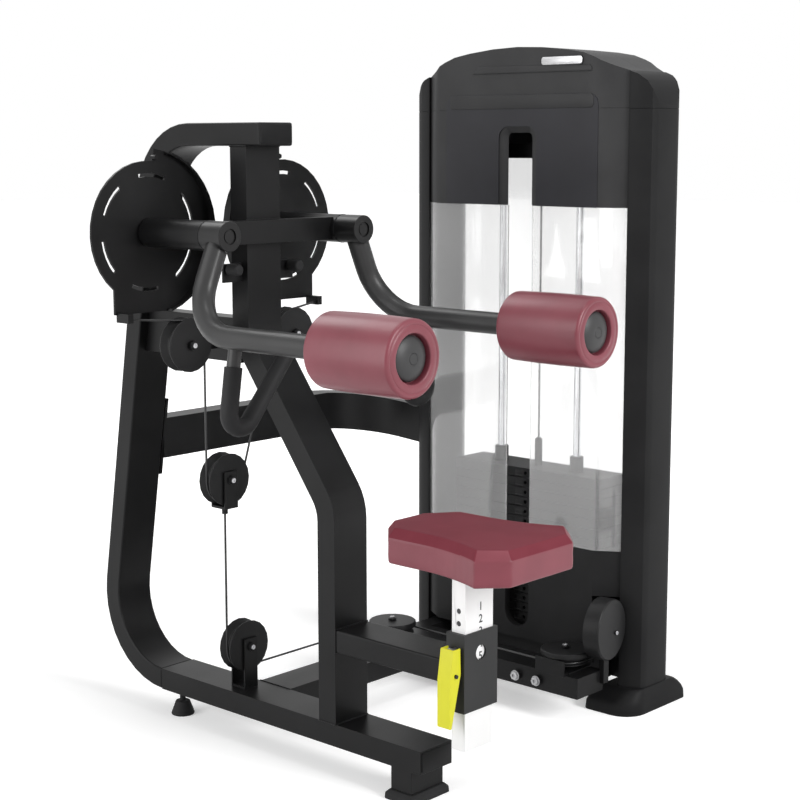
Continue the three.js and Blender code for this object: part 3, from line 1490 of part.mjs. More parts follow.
const headSecond = wheel(headWheels[1], headPulley.z, -1);
const headCrown = headPulley.z + wrap;
const headUp = wheelArc(headFirst, point(0, headPulley.z), point(headWheels[0], headCrown));
const headDown = wheelArc(headSecond, point(headWheels[1], headCrown), point(runLong, headPulley.z));
const stackPoints = [
  new THREE.Vector3(studEnd.a, planeY, studEnd.b),
  ...wheelArc(lowWheel, lowIn, lowOut).map((p) => new THREE.Vector3(p.x, planeY, p.y)),
  ...wheelArc(backWheel, backIn, cornerSpan[0]).map((p) => new THREE.Vector3(p.x, p.y, cornerPulleyZ)),
  ...wheelArc(frontWheel, cornerSpan[1], frontOut).map((p) => new THREE.Vector3(p.x, p.y, cornerPulleyZ)),
  ...wheelArc(liftWheel, liftIn, liftOut).map((p) => new THREE.Vector3(p.x, liftY, p.y)),
  ...headUp.map((p) => inRun(p.x, p.y)),
  ...headDown.map((p) => inRun(p.x, p.y)),
  new THREE.Vector3(towerX, towerY, stackTop + stem.tall + seatGap),
];
place("stack_cable", pipe(tracked(stackPoints), cableRadius, cableSides), rubberBlack);

// The origin lies on the floor under the middle of the whole machine
const bounds = new THREE.Box3().setFromObject(machine);
const middle = bounds.getCenter(new THREE.Vector3());
machine.position.set(-middle.x, -middle.y, -bounds.min.z);

export default machine;
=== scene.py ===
import math

import bmesh
import bpy
from mathutils import Euler, Matrix, Vector, noise


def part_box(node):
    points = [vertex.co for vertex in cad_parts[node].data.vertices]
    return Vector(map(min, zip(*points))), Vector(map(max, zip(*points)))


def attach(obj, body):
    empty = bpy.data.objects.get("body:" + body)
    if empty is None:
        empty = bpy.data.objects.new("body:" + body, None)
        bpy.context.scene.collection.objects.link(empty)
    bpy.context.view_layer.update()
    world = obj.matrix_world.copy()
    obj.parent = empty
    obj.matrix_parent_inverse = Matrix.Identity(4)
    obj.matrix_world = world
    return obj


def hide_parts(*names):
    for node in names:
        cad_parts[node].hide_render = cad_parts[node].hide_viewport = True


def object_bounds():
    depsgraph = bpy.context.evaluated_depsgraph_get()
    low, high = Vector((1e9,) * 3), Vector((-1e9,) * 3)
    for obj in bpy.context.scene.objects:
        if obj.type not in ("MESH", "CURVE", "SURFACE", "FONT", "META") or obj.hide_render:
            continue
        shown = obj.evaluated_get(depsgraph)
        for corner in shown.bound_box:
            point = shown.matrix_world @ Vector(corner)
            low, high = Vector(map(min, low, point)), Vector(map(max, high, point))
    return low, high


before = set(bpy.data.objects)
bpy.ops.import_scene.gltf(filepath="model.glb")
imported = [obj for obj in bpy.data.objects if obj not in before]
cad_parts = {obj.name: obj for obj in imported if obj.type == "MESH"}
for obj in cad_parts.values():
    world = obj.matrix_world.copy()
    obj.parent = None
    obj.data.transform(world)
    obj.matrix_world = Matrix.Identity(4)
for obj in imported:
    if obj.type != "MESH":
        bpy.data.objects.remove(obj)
cad_low, cad_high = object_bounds()

# Where the machine stands. Its makers measure across from the middle of the seat, back from the foot of the
# upright and up from the floor, so every place below is written that way and moved into the frame's own axes.
SEAT_BEAM_FRONT = -0.345
seat_beam_low, seat_beam_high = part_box("seat_beam")
middle_x = (seat_beam_low.x + seat_beam_high.x) / 2
upright_y = seat_beam_low.y - SEAT_BEAM_FRONT


def spot(x, y, z):
    """A place measured from the seat's middle, the upright's foot and the floor."""
    return Vector((middle_x + x, upright_y + y, z))


# The photographer's stand: in front of the machine on its open side, at chest height, looking slightly down.
# A long lens keeps the tubes nearly parallel. The whole machine fills the square frame.
LENS = 75.567
SENSOR = 36.0
STAND = spot(-2.5356, -2.4884, 1.375)
HEADING = math.radians(47.576)
LOOK_DOWN = math.radians(8.789)
TILT = math.radians(0.065)
lens = bpy.data.cameras.new("camera")
lens.lens = LENS
lens.sensor_width = SENSOR
lens.clip_start = 0.1
lens.clip_end = 100
camera = bpy.data.objects.new("camera", lens)
bpy.context.scene.collection.objects.link(camera)
aim = Matrix.Rotation(-HEADING, 4, "Z") @ Matrix.Rotation(math.pi / 2 - LOOK_DOWN, 4, "X")
camera.matrix_world = Matrix.Translation(STAND) @ aim @ Matrix.Rotation(-TILT, 4, "Z")
bpy.context.scene.camera = camera
bpy.context.scene.view_settings.view_transform = "Standard"

# The studio: a pale seamless floor, a white room that lights the machine evenly, and soft lamps in front of
# it, beside its open side, behind it and overhead. The floor takes the machine's soft shadow and pales
# towards the far wall. A lamp's place is measured like the machine's own.
FLOOR_HALF = 30.0
FLOOR_TONE = (0.86, 0.86, 0.86, 1)
FLOOR_LIFT = {"near": 0.34, "far": 0.8, "start": 1.0, "stop": 4.0}
ROOM_LEVEL = 0.36
WHITE = (1, 1, 1, 1)
LIT_SPOT = spot(0.2, 0, 0.7)
LAMPS = {
    "front_lamp": {"at": spot(0.6, -5.2, 2.8), "size": 2.2, "watts": 200},
    "side_lamp": {"at": spot(-5.0, 1.6, 2.0), "size": 4.4, "watts": 190},
    "back_lamp": {"at": spot(0.5, 3.2, 4.2), "size": 1.8, "watts": 36},
    "top_lamp": {"at": spot(-0.1, -0.5, 4.4), "size": 1.0, "watts": 18},
}


def node_maker(tree):
    """Gives a short way to add a shader node and to set its sockets."""

    def add(kind, **values):
        node = tree.nodes.new(kind)
        for key, value in values.items():
            if hasattr(node, key):
                setattr(node, key, value)
            else:
                node.inputs[key.replace("_", " ")].default_value = value
        return node

    return add


def seen_or_mirrored(add, join):
    """One where a surface is looked at straight, through the shields or in a reflection."""
    rays = add("ShaderNodeLightPath")
    seen = add("ShaderNodeMath", operation="MAXIMUM")
    either = add("ShaderNodeMath", operation="MAXIMUM")
    join(rays.outputs["Is Camera Ray"], seen.inputs[0])
    join(rays.outputs["Is Transmission Ray"], seen.inputs[1])
    join(seen.outputs[0], either.inputs[0])
    join(rays.outputs["Is Glossy Ray"], either.inputs[1])
    return either.outputs[0]


room = bpy.data.worlds.new("room")
room.use_nodes = True
room.node_tree.nodes.clear()
add = node_maker(room.node_tree)
join = room.node_tree.links.new
walls = add("ShaderNodeBackground", Strength=ROOM_LEVEL, Color=WHITE)
backdrop = add("ShaderNodeBackground", Strength=1.0, Color=WHITE)
choice = add("ShaderNodeMixShader")
join(seen_or_mirrored(add, join), choice.inputs[0])
join(walls.outputs[0], choice.inputs[1])
join(backdrop.outputs[0], choice.inputs[2])
join(choice.outputs[0], add("ShaderNodeOutputWorld").inputs["Surface"])
bpy.context.scene.world = room


def material(name):
    """A material with an empty tree and an output."""
    made = bpy.data.materials.new(name)
    made.use_nodes = True
    made.node_tree.nodes.clear()
    adder = node_maker(made.node_tree)
    return made, adder, made.node_tree.links.new, adder("ShaderNodeOutputMaterial")


floor_cover, add, join, end = material("studio_floor")
sweep = add("ShaderNodeBsdfDiffuse", Roughness=1.0, Color=FLOOR_TONE)
lift = add("ShaderNodeEmission")
where = add("ShaderNodeTexCoord")
away = add("ShaderNodeVectorMath", operation="LENGTH")
join(where.outputs["Object"], away.inputs[0])
paling = add("ShaderNodeMapRange")
for socket, value in zip(("From Min", "From Max", "To Min", "To Max"), ("start", "stop", "near", "far")):
    paling.inputs[socket].default_value = FLOOR_LIFT[value]
join(away.outputs["Value"], paling.inputs["Value"])
scale = add("ShaderNodeMath", operation="MULTIPLY")
join(seen_or_mirrored(add, join), scale.inputs[0])
join(paling.outputs["Result"], scale.inputs[1])
join(scale.outputs[0], lift.inputs["Strength"])
both = add("ShaderNodeAddShader")
join(sweep.outputs[0], both.inputs[0])
join(lift.outputs[0], both.inputs[1])
join(both.outputs[0], end.inputs["Surface"])

SAME_POINT = 0.000005


def new_piece(name, points, faces, finish, crease=32.0):
    """A mesh piece, smooth except where two faces meet at more than the crease angle."""
    mesh = bpy.data.meshes.new(name)
    mesh.from_pydata([tuple(p) for p in points], [], faces)
    shape = bmesh.new()
    shape.from_mesh(mesh)
    bmesh.ops.remove_doubles(shape, verts=shape.verts, dist=SAME_POINT)
    bmesh.ops.delete(shape, geom=[edge for edge in shape.edges if not edge.link_faces], context="EDGES")
    bmesh.ops.recalc_face_normals(shape, faces=shape.faces)
    shape.to_mesh(mesh)
    shape.free()
    mesh.polygons.foreach_set("use_smooth", [True] * len(mesh.polygons))
    mesh.set_sharp_from_angle(angle=math.radians(crease))
    mesh.materials.append(finish)
    piece = bpy.data.objects.new(name, mesh)
    bpy.context.scene.collection.objects.link(piece)
    return piece


floor_z = cad_low.z
floor_signs = ((-1, -1), (1, -1), (1, 1), (-1, 1))
floor_corners = [(across * FLOOR_HALF, along * FLOOR_HALF, floor_z) for across, along in floor_signs]
floor = new_piece("studio_floor", floor_corners, [(0, 1, 2, 3)], floor_cover)

for name, lamp in LAMPS.items():
    light = bpy.data.lights.new(name, "AREA")
    light.energy = lamp["watts"]
    light.size = lamp["size"]
    stand = bpy.data.objects.new(name, light)
    stand.location = lamp["at"]
    stand.rotation_euler = (LIT_SPOT - lamp["at"]).to_track_quat("-Z", "Y").to_euler()
    bpy.context.scene.collection.objects.link(stand)

# The side frame: flat steel tube, bent cold and welded, in matt black powder coat. The coat has a fine orange
# peel, and its tone drifts a little along each tube.
def grey(tone, cool=0.0005):
    """A grey for the shader, with a touch more blue."""
    return tone, tone, tone + cool, 1


TUBE_CORNER = 0.0045
COAT_DARK = grey(0.0062, 0.0003)
COAT_LIGHT = grey(0.0098, 0.0004)
PEEL_SCALE = 700.0
PEEL_DEPTH = 0.0003
CLOUD_SCALE = 7.0


def grain(add, join, scale, depth, strength, detail=3.0, stretch=None):
    """A bump from fine noise. Returns the bump node and the noise node."""
    where = add("ShaderNodeTexCoord")
    source = where.outputs["Object"]
    if stretch:
        spread = add("ShaderNodeMapping")
        spread.inputs["Scale"].default_value = stretch
        join(source, spread.inputs["Vector"])
        source = spread.outputs["Vector"]
    fine = add("ShaderNodeTexNoise", Scale=scale, Detail=detail)
    join(source, fine.inputs["Vector"])
    bump = add("ShaderNodeBump", Strength=strength, Distance=depth)
    join(fine.outputs["Fac"], bump.inputs["Height"])
    return bump, fine


def clouded(add, join, dark, light, scale, low=0.35, high=0.65):
    """A colour that drifts between two tones over the surface."""
    where = add("ShaderNodeTexCoord")
    cloud = add("ShaderNodeTexNoise", Scale=scale, Detail=4.0)
    join(where.outputs["Object"], cloud.inputs["Vector"])
    ramp = add("ShaderNodeValToRGB")
    ramp.color_ramp.elements[0].position = low
    ramp.color_ramp.elements[0].color = dark
    ramp.color_ramp.elements[1].position = high
    ramp.color_ramp.elements[1].color = light
    join(cloud.outputs["Fac"], ramp.inputs["Fac"])
    return ramp, cloud


def spread_roughness(add, join, source, low, high):
    """Roughness that follows a noise between two values."""
    band = add("ShaderNodeMapRange")
    band.inputs["To Min"].default_value = low
    band.inputs["To Max"].default_value = high
    join(source, band.inputs["Value"])
    return band.outputs["Result"]


def coated_steel(name, dark, light, rough, specular, peel=0.16, collar=None):
    """Powder coat over steel: clouded tone and orange peel. A collar keeps its own darker coat."""
    made, add, join, end = material(name)
    skin = add("ShaderNodeBsdfPrincipled", Metallic=0.0)
    skin.inputs["Specular IOR Level"].default_value = specular
    tone, cloud = clouded(add, join, dark, light, CLOUD_SCALE)
    bump, fine = grain(add, join, PEEL_SCALE, PEEL_DEPTH, peel)
    dull = spread_roughness(add, join, cloud.outputs["Fac"], rough - 0.06, rough + 0.08)
    join(dull, skin.inputs["Roughness"])
    join(tone.outputs["Color"], skin.inputs["Base Color"])
    join(bump.outputs["Normal"], skin.inputs["Normal"])
    join(skin.outputs[0], end.inputs["Surface"])
    if collar:
        axis, reach, deep = collar
        where = add("ShaderNodeTexCoord")
        across = add("ShaderNodeVectorMath", operation="MULTIPLY")
        across.inputs[1].default_value = (1, 0, 1)
        away = add("ShaderNodeVectorMath", operation="DISTANCE")
        away.inputs[1].default_value = (axis.x, 0, axis.z)
        border = add("ShaderNodeMapRange")
        border.inputs["From Min"].default_value, border.inputs["From Max"].default_value = reach
        coats = add("ShaderNodeMixRGB")
        coats.inputs["Color1"].default_value = deep
        join(where.outputs["Object"], across.inputs[0])
        join(across.outputs[0], away.inputs[0])
        join(away.outputs["Value"], border.inputs["Value"])
        join(border.outputs["Result"], coats.inputs["Fac"])
        join(tone.outputs["Color"], coats.inputs["Color2"])
        join(coats.outputs["Color"], skin.inputs["Base Color"])
    return made


frame_coat = coated_steel("frame_coat", COAT_DARK, COAT_LIGHT, 0.36, 0.17)


def shading_group(angle):
    """Smooth faces, with the edges above an angle kept sharp."""
    group = bpy.data.node_groups.new("crease_shading", "GeometryNodeTree")
    for side in ("INPUT", "OUTPUT"):
        group.interface.new_socket("Geometry", in_out=side, socket_type="NodeSocketGeometry")
    add = node_maker(group)
    join = group.links.new
    start = add("NodeGroupInput")
    stop = add("NodeGroupOutput")
    faces = add("GeometryNodeSetShadeSmooth", domain="FACE")
    edges = add("GeometryNodeSetShadeSmooth", domain="EDGE")
    turn = add("GeometryNodeInputMeshEdgeAngle")
    gentle = add("FunctionNodeCompare", data_type="FLOAT", operation="LESS_THAN")
    gentle.inputs[1].default_value = angle
    join(turn.outputs["Unsigned Angle"], gentle.inputs[0])
    join(start.outputs[0], faces.inputs["Geometry"])
    join(faces.outputs[0], edges.inputs["Geometry"])
    join(gentle.outputs[0], edges.inputs["Shade Smooth"])
    join(edges.outputs[0], stop.inputs[0])
    return group


crease_shading = shading_group(math.radians(32))
CORNER_POINTS = 0.00002
FLAT = math.radians(1.0)
SHARP = math.radians(33)


def dress(node, finish, corner=0.0, rings=3):
    """Gives a piece of the frame its finish, and rounds its sharp edges to a corner radius."""
    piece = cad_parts[node]
    if piece.material_slots:
        piece.material_slots[0].material = finish
    else:
        piece.data.materials.append(finish)
    weld = piece.modifiers.new("weld", "WELD")
    weld.merge_threshold = CORNER_POINTS
    flat = piece.modifiers.new("flat_faces", "DECIMATE")
    flat.decimate_type = "DISSOLVE"
    flat.angle_limit = FLAT
    if corner > 0:
        bevel = piece.modifiers.new("corner", "BEVEL")
        bevel.width = corner
        bevel.segments = rings
        bevel.limit_method = "ANGLE"
        bevel.angle_limit = SHARP
        bevel.use_clamp_overlap = True
    piece.modifiers.new("shading", "NODES").node_group = crease_shading
    true_faces = piece.modifiers.new("true_faces", "WEIGHTED_NORMAL")
    true_faces.keep_sharp = True
    return piece


for node in (
    "base_beam", "rear_leg_and_top_beam", "upright", "tie_tube", "seat_beam",
    "base_cross_beam", "tower_base_beam", "tower_sole_beam", "brace", "head_beam",
):
    dress(node, frame_coat, TUBE_CORNER)

# Welds run round the frame's joints as low beads, painted over with the tubes. Each is a closed ring of
# overlapping puddles round the end of a tube. It is given by the axis that it is square to, its place on that
# axis, and the tube's reach across and up, or across and back.
BEAD = 0.0022
PUDDLE = 1.2 * BEAD
PUDDLE_DIP = 0.82
WELDS = {
    "seat_beam_weld": ("y", -0.0275, (-0.05, 0.05, 0.283, 0.3337)),
    "upright_foot_weld": ("z", 0.1207, (-0.05, 0.05, -0.027, 0.025)),
    "upright_head_weld": ("z", 1.363, (-0.05, 0.05, 0.234, 0.286)),
    "cross_beam_weld": ("x", 0.0503, (0.221, 0.32, 0.07, 0.1207)),
    "bearing_bar_weld": ("y", 0.2338, (-0.05, 0.05, 1.154, 1.204)),
}


def oblong(left, right, bottom, top):
    """The corners of an upright rectangle, anticlockwise."""
    return [(left, bottom), (right, bottom), (right, top), (left, top)]


def on_plane(axis, level, across, up):
    """A place on a plane that is square to an axis of the machine."""
    return spot(*{"x": (level, across, up), "y": (across, level, up), "z": (across, up, level)}[axis])


for name, (axis, level, reach) in WELDS.items():
    line = bpy.data.curves.new(name, "CURVE")
    line.dimensions = "3D"
    line.bevel_depth = BEAD
    line.bevel_resolution = 3
    corners = [on_plane(axis, level, *corner) for corner in oblong(*reach)]
    steps = []
    for index, start in enumerate(corners):
        goal = corners[(index + 1) % len(corners)]
        puddles = max(2, round((goal - start).length / PUDDLE))
        steps += [start.lerp(goal, part / puddles) for part in range(puddles)]
    run = line.splines.new("POLY")
    run.points.add(len(steps) - 1)
    run.use_cyclic_u = True
    for index, (point, place) in enumerate(zip(run.points, steps)):
        point.co = (*place, 1)
        point.radius = 1.0 if index % 2 else PUDDLE_DIP
    bead = bpy.data.objects.new(name, line)
    bpy.context.scene.collection.objects.link(bead)
    line.materials.append(frame_coat)
    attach(bead, "frame")

# The feet and the arms' stop buffers: black moulded rubber, dull, with a fine sandy skin. The feet are pushed
# over the frame's stubs, and the buffers are screwed to their brackets.
RUBBER = grey(0.012)
RUBBER_LIGHT = grey(0.02, 0.001)
FOOT_CORNER = 0.002


def moulded(name, dark, light, rough, scale, depth, specular=0.4, bump_strength=0.25):
    """Moulded plastic or rubber with a fine grain."""
    made, add, join, end = material(name)
    skin = add("ShaderNodeBsdfPrincipled")
    skin.inputs["Specular IOR Level"].default_value = specular
    tone, cloud = clouded(add, join, dark, light, 9.0)
    bump, fine = grain(add, join, scale, depth, bump_strength)
    dull = spread_roughness(add, join, fine.outputs["Fac"], rough - 0.05, rough + 0.07)
    join(dull, skin.inputs["Roughness"])
    join(tone.outputs["Color"], skin.inputs["Base Color"])
    join(bump.outputs["Normal"], skin.inputs["Normal"])
    join(skin.outputs[0], end.inputs["Surface"])
    return made


rubber = moulded("rubber", RUBBER, RUBBER_LIGHT, 0.72, 900.0, 0.0003, 0.25)
for node in ("front_foot", "back_foot", "stop_bumper_left", "stop_bumper_right"):
    dress(node, rubber, FOOT_CORNER)

# The seat column: a flat steel tube in white paint, with a punched row of holes, slides in a welded grey
# sleeve. A yellow lever draws the zinc-plated pin that holds it.
POST_WHITE = grey(0.95, 0.0)
POST_SHADE = grey(0.92, -0.005)
POST_CORNER = 0.0015
SLEEVE_DARK = (0.022, 0.0225, 0.023, 1)
SLEEVE_LIGHT = (0.03, 0.0305, 0.031, 1)
SLEEVE_CORNER = 0.0012
LEVER_YELLOW = (0.72, 0.70, 0.016, 1)
LEVER_DEEP = (0.64, 0.61, 0.01, 1)
LEVER_CORNER = 0.0007
ZINC = (0.62, 0.62, 0.63, 1)
ZINC_SHADE = (0.5, 0.5, 0.52, 1)
PIN_CORNER = 0.0004
post_paint = coated_steel("post_paint", POST_SHADE, POST_WHITE, 0.36, 0.5, 0.08)
sleeve_coat = coated_steel("sleeve_coat", SLEEVE_DARK, SLEEVE_LIGHT, 0.42, 0.2)
lever_paint = coated_steel("lever_paint", LEVER_DEEP, LEVER_YELLOW, 0.4, 0.45, 0.1)
dress("seat_post", post_paint, POST_CORNER)
dress("seat_sleeve", sleeve_coat, SLEEVE_CORNER)
dress("release_lever", lever_paint, LEVER_CORNER, 2)


def metal(name, tone, shade, rough, stretch=(1, 1, 1), scale=300.0):
    """Bare or plated metal with fine drawn lines."""
    made, add, join, end = material(name)
    skin = add("ShaderNodeBsdfPrincipled", Metallic=1.0)
    colour, cloud = clouded(add, join, shade, tone, 30.0)
    bump, fine = grain(add, join, scale, 0.0001, 0.12, 4.0, stretch)
    dull = spread_roughness(add, join, fine.outputs["Fac"], rough - 0.06, rough + 0.1)
    join(dull, skin.inputs["Roughness"])
    join(colour.outputs["Color"], skin.inputs["Base Color"])
    join(bump.outputs["Normal"], skin.inputs["Normal"])
    join(skin.outputs[0], end.inputs["Surface"])
    return made


zinc = metal("zinc", ZINC, ZINC_SHADE, 0.3)
dress("seat_lock_pin", zinc, PIN_CORNER)

# The post's face carries a printed number beside each hole, one to nine from the top. It tells which hole the
# pin is in.
POST_MIDDLE = -0.370
POST_HALF = 0.018
HOLE_TOP = 0.440
HOLE_PITCH = 0.026
HOLE_COUNT = 9
DIGIT_TALL = 0.0245
DIGIT_RAISED = 0.0002
DIGIT_ASIDE = 0.004
DIGIT_LIFT = 0.004
DIGIT_BOLD = 0.00035
INK = (0.01, 0.01, 0.011, 1)
INK_PALE = (0.03, 0.03, 0.032, 1)
ink, add, join, end = material("number_ink")
skin = add("ShaderNodeBsdfPrincipled")
tone, cloud = clouded(add, join, INK, INK_PALE, 400.0)
join(spread_roughness(add, join, cloud.outputs["Fac"], 0.4, 0.6), skin.inputs["Roughness"])
join(tone.outputs["Color"], skin.inputs["Base Color"])
join(skin.outputs[0], end.inputs["Surface"])
for count in range(HOLE_COUNT):
    letters = bpy.data.curves.new(f"post_number_{count + 1}", "FONT")
    letters.body = str(count + 1)
    letters.size = DIGIT_TALL
    letters.extrude = DIGIT_RAISED / 2
    letters.offset = DIGIT_BOLD
    letters.align_x = "CENTER"
    letters.align_y = "CENTER"
    digit = bpy.data.objects.new(letters.name, letters)
    bpy.context.scene.collection.objects.link(digit)
    digit.rotation_euler = Euler((math.pi / 2, 0, 0))
    height = HOLE_TOP - count * HOLE_PITCH + DIGIT_LIFT
    digit.location = spot(DIGIT_ASIDE, POST_MIDDLE - POST_HALF - DIGIT_RAISED / 2, height)
    digit.data.materials.append(ink)
    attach(digit, "seat")

# The post is a hollow tube, and each punched hole looks into its shaded inside, behind the thickness of the
# wall. A small disc in the ink's near-black stands there as painted shade for the inside.
POST_SIDE = -0.044
HOLE_SHADE_DISC = {"radius": 0.0053, "wall": 0.0016, "deep": 0.004}


def turned(name, profile, centre, finish, axis="y", sides=64, crease=32.0, wave=None):
    """A closed turned piece about an axis. The profile holds radius and place along the axis."""
    points = []
    for step in range(sides):
        angle = 2 * math.pi * step / sides
        for radius, along in profile:
            reach = radius + (wave(angle, along, radius) if wave else 0.0)
            across = centre[0] + reach * math.cos(angle)
            points.append(on_plane(axis, along, across, centre[1] + reach * math.sin(angle)))
    count = len(profile)
    faces = []
    for step in range(sides):
        here = step * count
        there = ((step + 1) % sides) * count
        for index in range(count):
            after = (index + 1) % count
            faces.append((here + index, here + after, there + after, there + index))
    return new_piece(name, points, faces, finish, crease)


# Each dark disc is painted shade for the hollow inside seen through its hole.
for count in range(HOLE_COUNT):
    front = POST_SIDE + HOLE_SHADE_DISC["wall"]
    back = front + HOLE_SHADE_DISC["deep"]
    profile = [(0, front), (HOLE_SHADE_DISC["radius"], front), (HOLE_SHADE_DISC["radius"], back), (0, back)]
    middle = (POST_MIDDLE, HOLE_TOP - count * HOLE_PITCH)
    shade_disc = turned(f"post_hole_shade_{count + 1}", profile, middle, ink, "x", 24)
    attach(shade_disc, "seat")

# The seat cushion: smooth burgundy artificial leather with a fine pebbled grain, drawn tight over a firm
# block of moulded foam. It has cut corners, a drawn-in waist where the thighs pass, a broad bevel round its
# top and a shallow dish to sit in. Its top and bevel, which look up, take a duller leather in a darker tone:
# the darker tone is painted shade.
LEATHER = (0.222, 0.048, 0.066, 1)
LEATHER_DEEP = (0.185, 0.036, 0.051, 1)
# The tone of the faces that look up, painted darker: painted shade.
LEATHER_TOP_SHADE = (0.2, 0.043, 0.058, 1)
LEATHER_TOP_SHADE_DEEP = (0.172, 0.034, 0.047, 1)
SHEEN_TINT = (1, 0.8, 0.84, 1)
PORE_SCALE = 1500.0
PEBBLE_SCALE = 620.0


def leather(name, deep, light, rough, specular):
    """Artificial leather: clouded tone, pebbled creases and fine pores."""
    made, add, join, end = material(name)
    skin = add("ShaderNodeBsdfPrincipled")
    skin.inputs["Specular IOR Level"].default_value = specular
    skin.inputs["Sheen Weight"].default_value = 0.02
    skin.inputs["Sheen Roughness"].default_value = 0.45
    skin.inputs["Sheen Tint"].default_value = SHEEN_TINT
    tone, cloud = clouded(add, join, deep, light, 9.0, 0.3, 0.6)
    where = add("ShaderNodeTexCoord")
    pebble = add("ShaderNodeTexVoronoi", feature="DISTANCE_TO_EDGE", Scale=PEBBLE_SCALE)
    join(where.outputs["Object"], pebble.inputs["Vector"])
    bump, fine = grain(add, join, PORE_SCALE, 0.0002, 0.1)
    creases = add("ShaderNodeBump", Strength=0.16, Distance=0.0003)
    join(pebble.outputs["Distance"], creases.inputs["Height"])
    join(bump.outputs["Normal"], creases.inputs["Normal"])
    dull = spread_roughness(add, join, cloud.outputs["Fac"], rough - 0.04, rough + 0.06)
    join(dull, skin.inputs["Roughness"])
    join(tone.outputs["Color"], skin.inputs["Base Color"])
    join(creases.outputs["Normal"], skin.inputs["Normal"])
    join(skin.outputs[0], end.inputs["Surface"])
    return made


seat_leather = leather("seat_leather", LEATHER_DEEP, LEATHER, 0.38, 0.42)
shaded_top_leather = leather("shaded_top_leather", LEATHER_TOP_SHADE_DEEP, LEATHER_TOP_SHADE, 0.56, 0.03)

CUSHION = {"front": -0.548, "back": -0.183, "base": 0.530, "half": 0.152, "waist": 0.115, "waist_at": -0.333}
FRONT_CUT = (0.054, 0.049)
BACK_CUT = (0.065, 0.060)
CUT_SHORTEN = 0.586
FLANK_STEPS = 8
CUSHION_ROUND = 0.004
CUSHION_STEP = 0.009
CUSHION_DISH = 0.003
CUSHION_CENTRE = 0.0738
SLACK = {"scale": 18, "deep": 0.0003}
# A face takes the duller leather, darker as painted shade, where it looks up more than these: the top, and
# the bevel but for the front's cut corners, which keep the glossier leather.
BEVEL_FACING = 0.4
TOP_FACING = 0.93
CUT_FACING = (0.3, 0.85)
# How far in each ring of the cushion lies, how high above its base, and how much of the dish it takes: the
# rolled lower edge, the side, the bevel and the top.
CUSHION_RINGS = (
    (0.0080, 0.0000, 0), (0.0045, 0.0003, 0), (0.0022, 0.0016, 0), (0.0009, 0.0045, 0), (0.0003, 0.0100, 0),
    (0.0000, 0.0190, 0), (0.0007, 0.0330, 0), (0.0001, 0.0480, 0), (0.0001, 0.0520, 0), (0.0006, 0.0541, 0),
    (0.0012, 0.0551, 0.1), (0.0024, 0.0567, 0.2), (0.0070, 0.0630, 0.6), (0.0124, 0.0704, 1),
    (0.0136, 0.0715, 1), (0.0152, 0.0720, 1), (0.0190, 0.0723, 1), (0.0240, 0.0725, 0.9),
    (0.0310, 0.0727, 0.8), (0.0450, 0.0731, 0.5), (0.0644, 0.0736, 0.2), (0.0850, 0.0738, 0),
)


def cushion_corners(inset):
    """The cushion's corners, drawn in by an inset: four cut corners, and flanks that flare forward."""
    front = CUSHION["front"] + inset
    back = CUSHION["back"] - inset
    wide = CUSHION["half"] - inset
    waist = CUSHION["waist"] - inset
    shorter = inset * CUT_SHORTEN
    cheek = front + FRONT_CUT[1] - shorter
    right = [(wide - FRONT_CUT[0] + shorter, front)]
    for step in range(FLANK_STEPS + 1):
        share = step / FLANK_STEPS
        out = waist + (wide - waist) * (1 - share) ** 2
        right.append((out, cheek + (CUSHION["waist_at"] - cheek) * share))
    right += [(waist, back - BACK_CUT[1] + shorter), (waist - BACK_CUT[0] + shorter, back)]
    return [Vector(p) for p in right] + [Vector((-x, y)) for x, y in reversed(right)]


SHORTEST = 0.4


def softened(corners, radius, pieces=None, turns=4):
    """A closed outline with soft corners. Each straight side is cut into its number of pieces."""
    outline = []
    for index, corner in enumerate(corners):
        before = corners[index - 1]
        after = corners[(index + 1) % len(corners)]
        reach = min(radius, SHORTEST * (before - corner).length, SHORTEST * (after - corner).length)
        start = corner + (before - corner).normalized() * reach
        goal = corner + (after - corner).normalized() * reach
        for turn in range(turns + 1):
            share = turn / turns
            outline.append(start.lerp(corner, share).lerp(corner.lerp(goal, share), share))
        if pieces:
            further = (corner - after).normalized()
            stop = after + further * min(reach, SHORTEST * (after - corner).length)
            outline += [goal.lerp(stop, part / pieces[index]) for part in range(1, pieces[index])]
    return outline


base_corners = cushion_corners(0)
side_pieces = [
    max(1, round((base_corners[(i + 1) % len(base_corners)] - corner).length / CUSHION_STEP))
    for i, corner in enumerate(base_corners)
]
cushion_middle = (CUSHION["front"] + CUSHION["back"]) / 2
cushion_points = []
cushion_faces = []
for inset, rise, dish in CUSHION_RINGS:
    for p in softened(cushion_corners(inset), CUSHION_ROUND, side_pieces):
        side = abs(p.x) / CUSHION["half"]
        ahead = (p.y - cushion_middle) / (CUSHION["front"] - cushion_middle)
        height = CUSHION["base"] + rise + CUSHION_DISH * dish * (side**2 - ahead**2 / 2)
        slack = noise.noise(Vector((p.x, p.y, height)) * SLACK["scale"]) * SLACK["deep"]
        cushion_points.append(spot(p.x, p.y, height + slack))
ring_size = len(cushion_points) // len(CUSHION_RINGS)
for ring in range(len(CUSHION_RINGS) - 1):
    for i in range(ring_size):
        j = (i + 1) % ring_size
        low, high = ring * ring_size, (ring + 1) * ring_size
        cushion_faces.append((low + i, low + j, high + j, high + i))
last_ring = ring_size * (len(CUSHION_RINGS) - 1)
for first, level in ((0, CUSHION["base"]), (last_ring, CUSHION["base"] + CUSHION_CENTRE)):
    centre = len(cushion_points)
    cushion_points.append(spot(0, cushion_middle, level))
    cushion_faces += [(first + i, first + (i + 1) % ring_size, centre) for i in range(ring_size)]
cushion = new_piece("seat_pad", cushion_points, cushion_faces, seat_leather, 40)
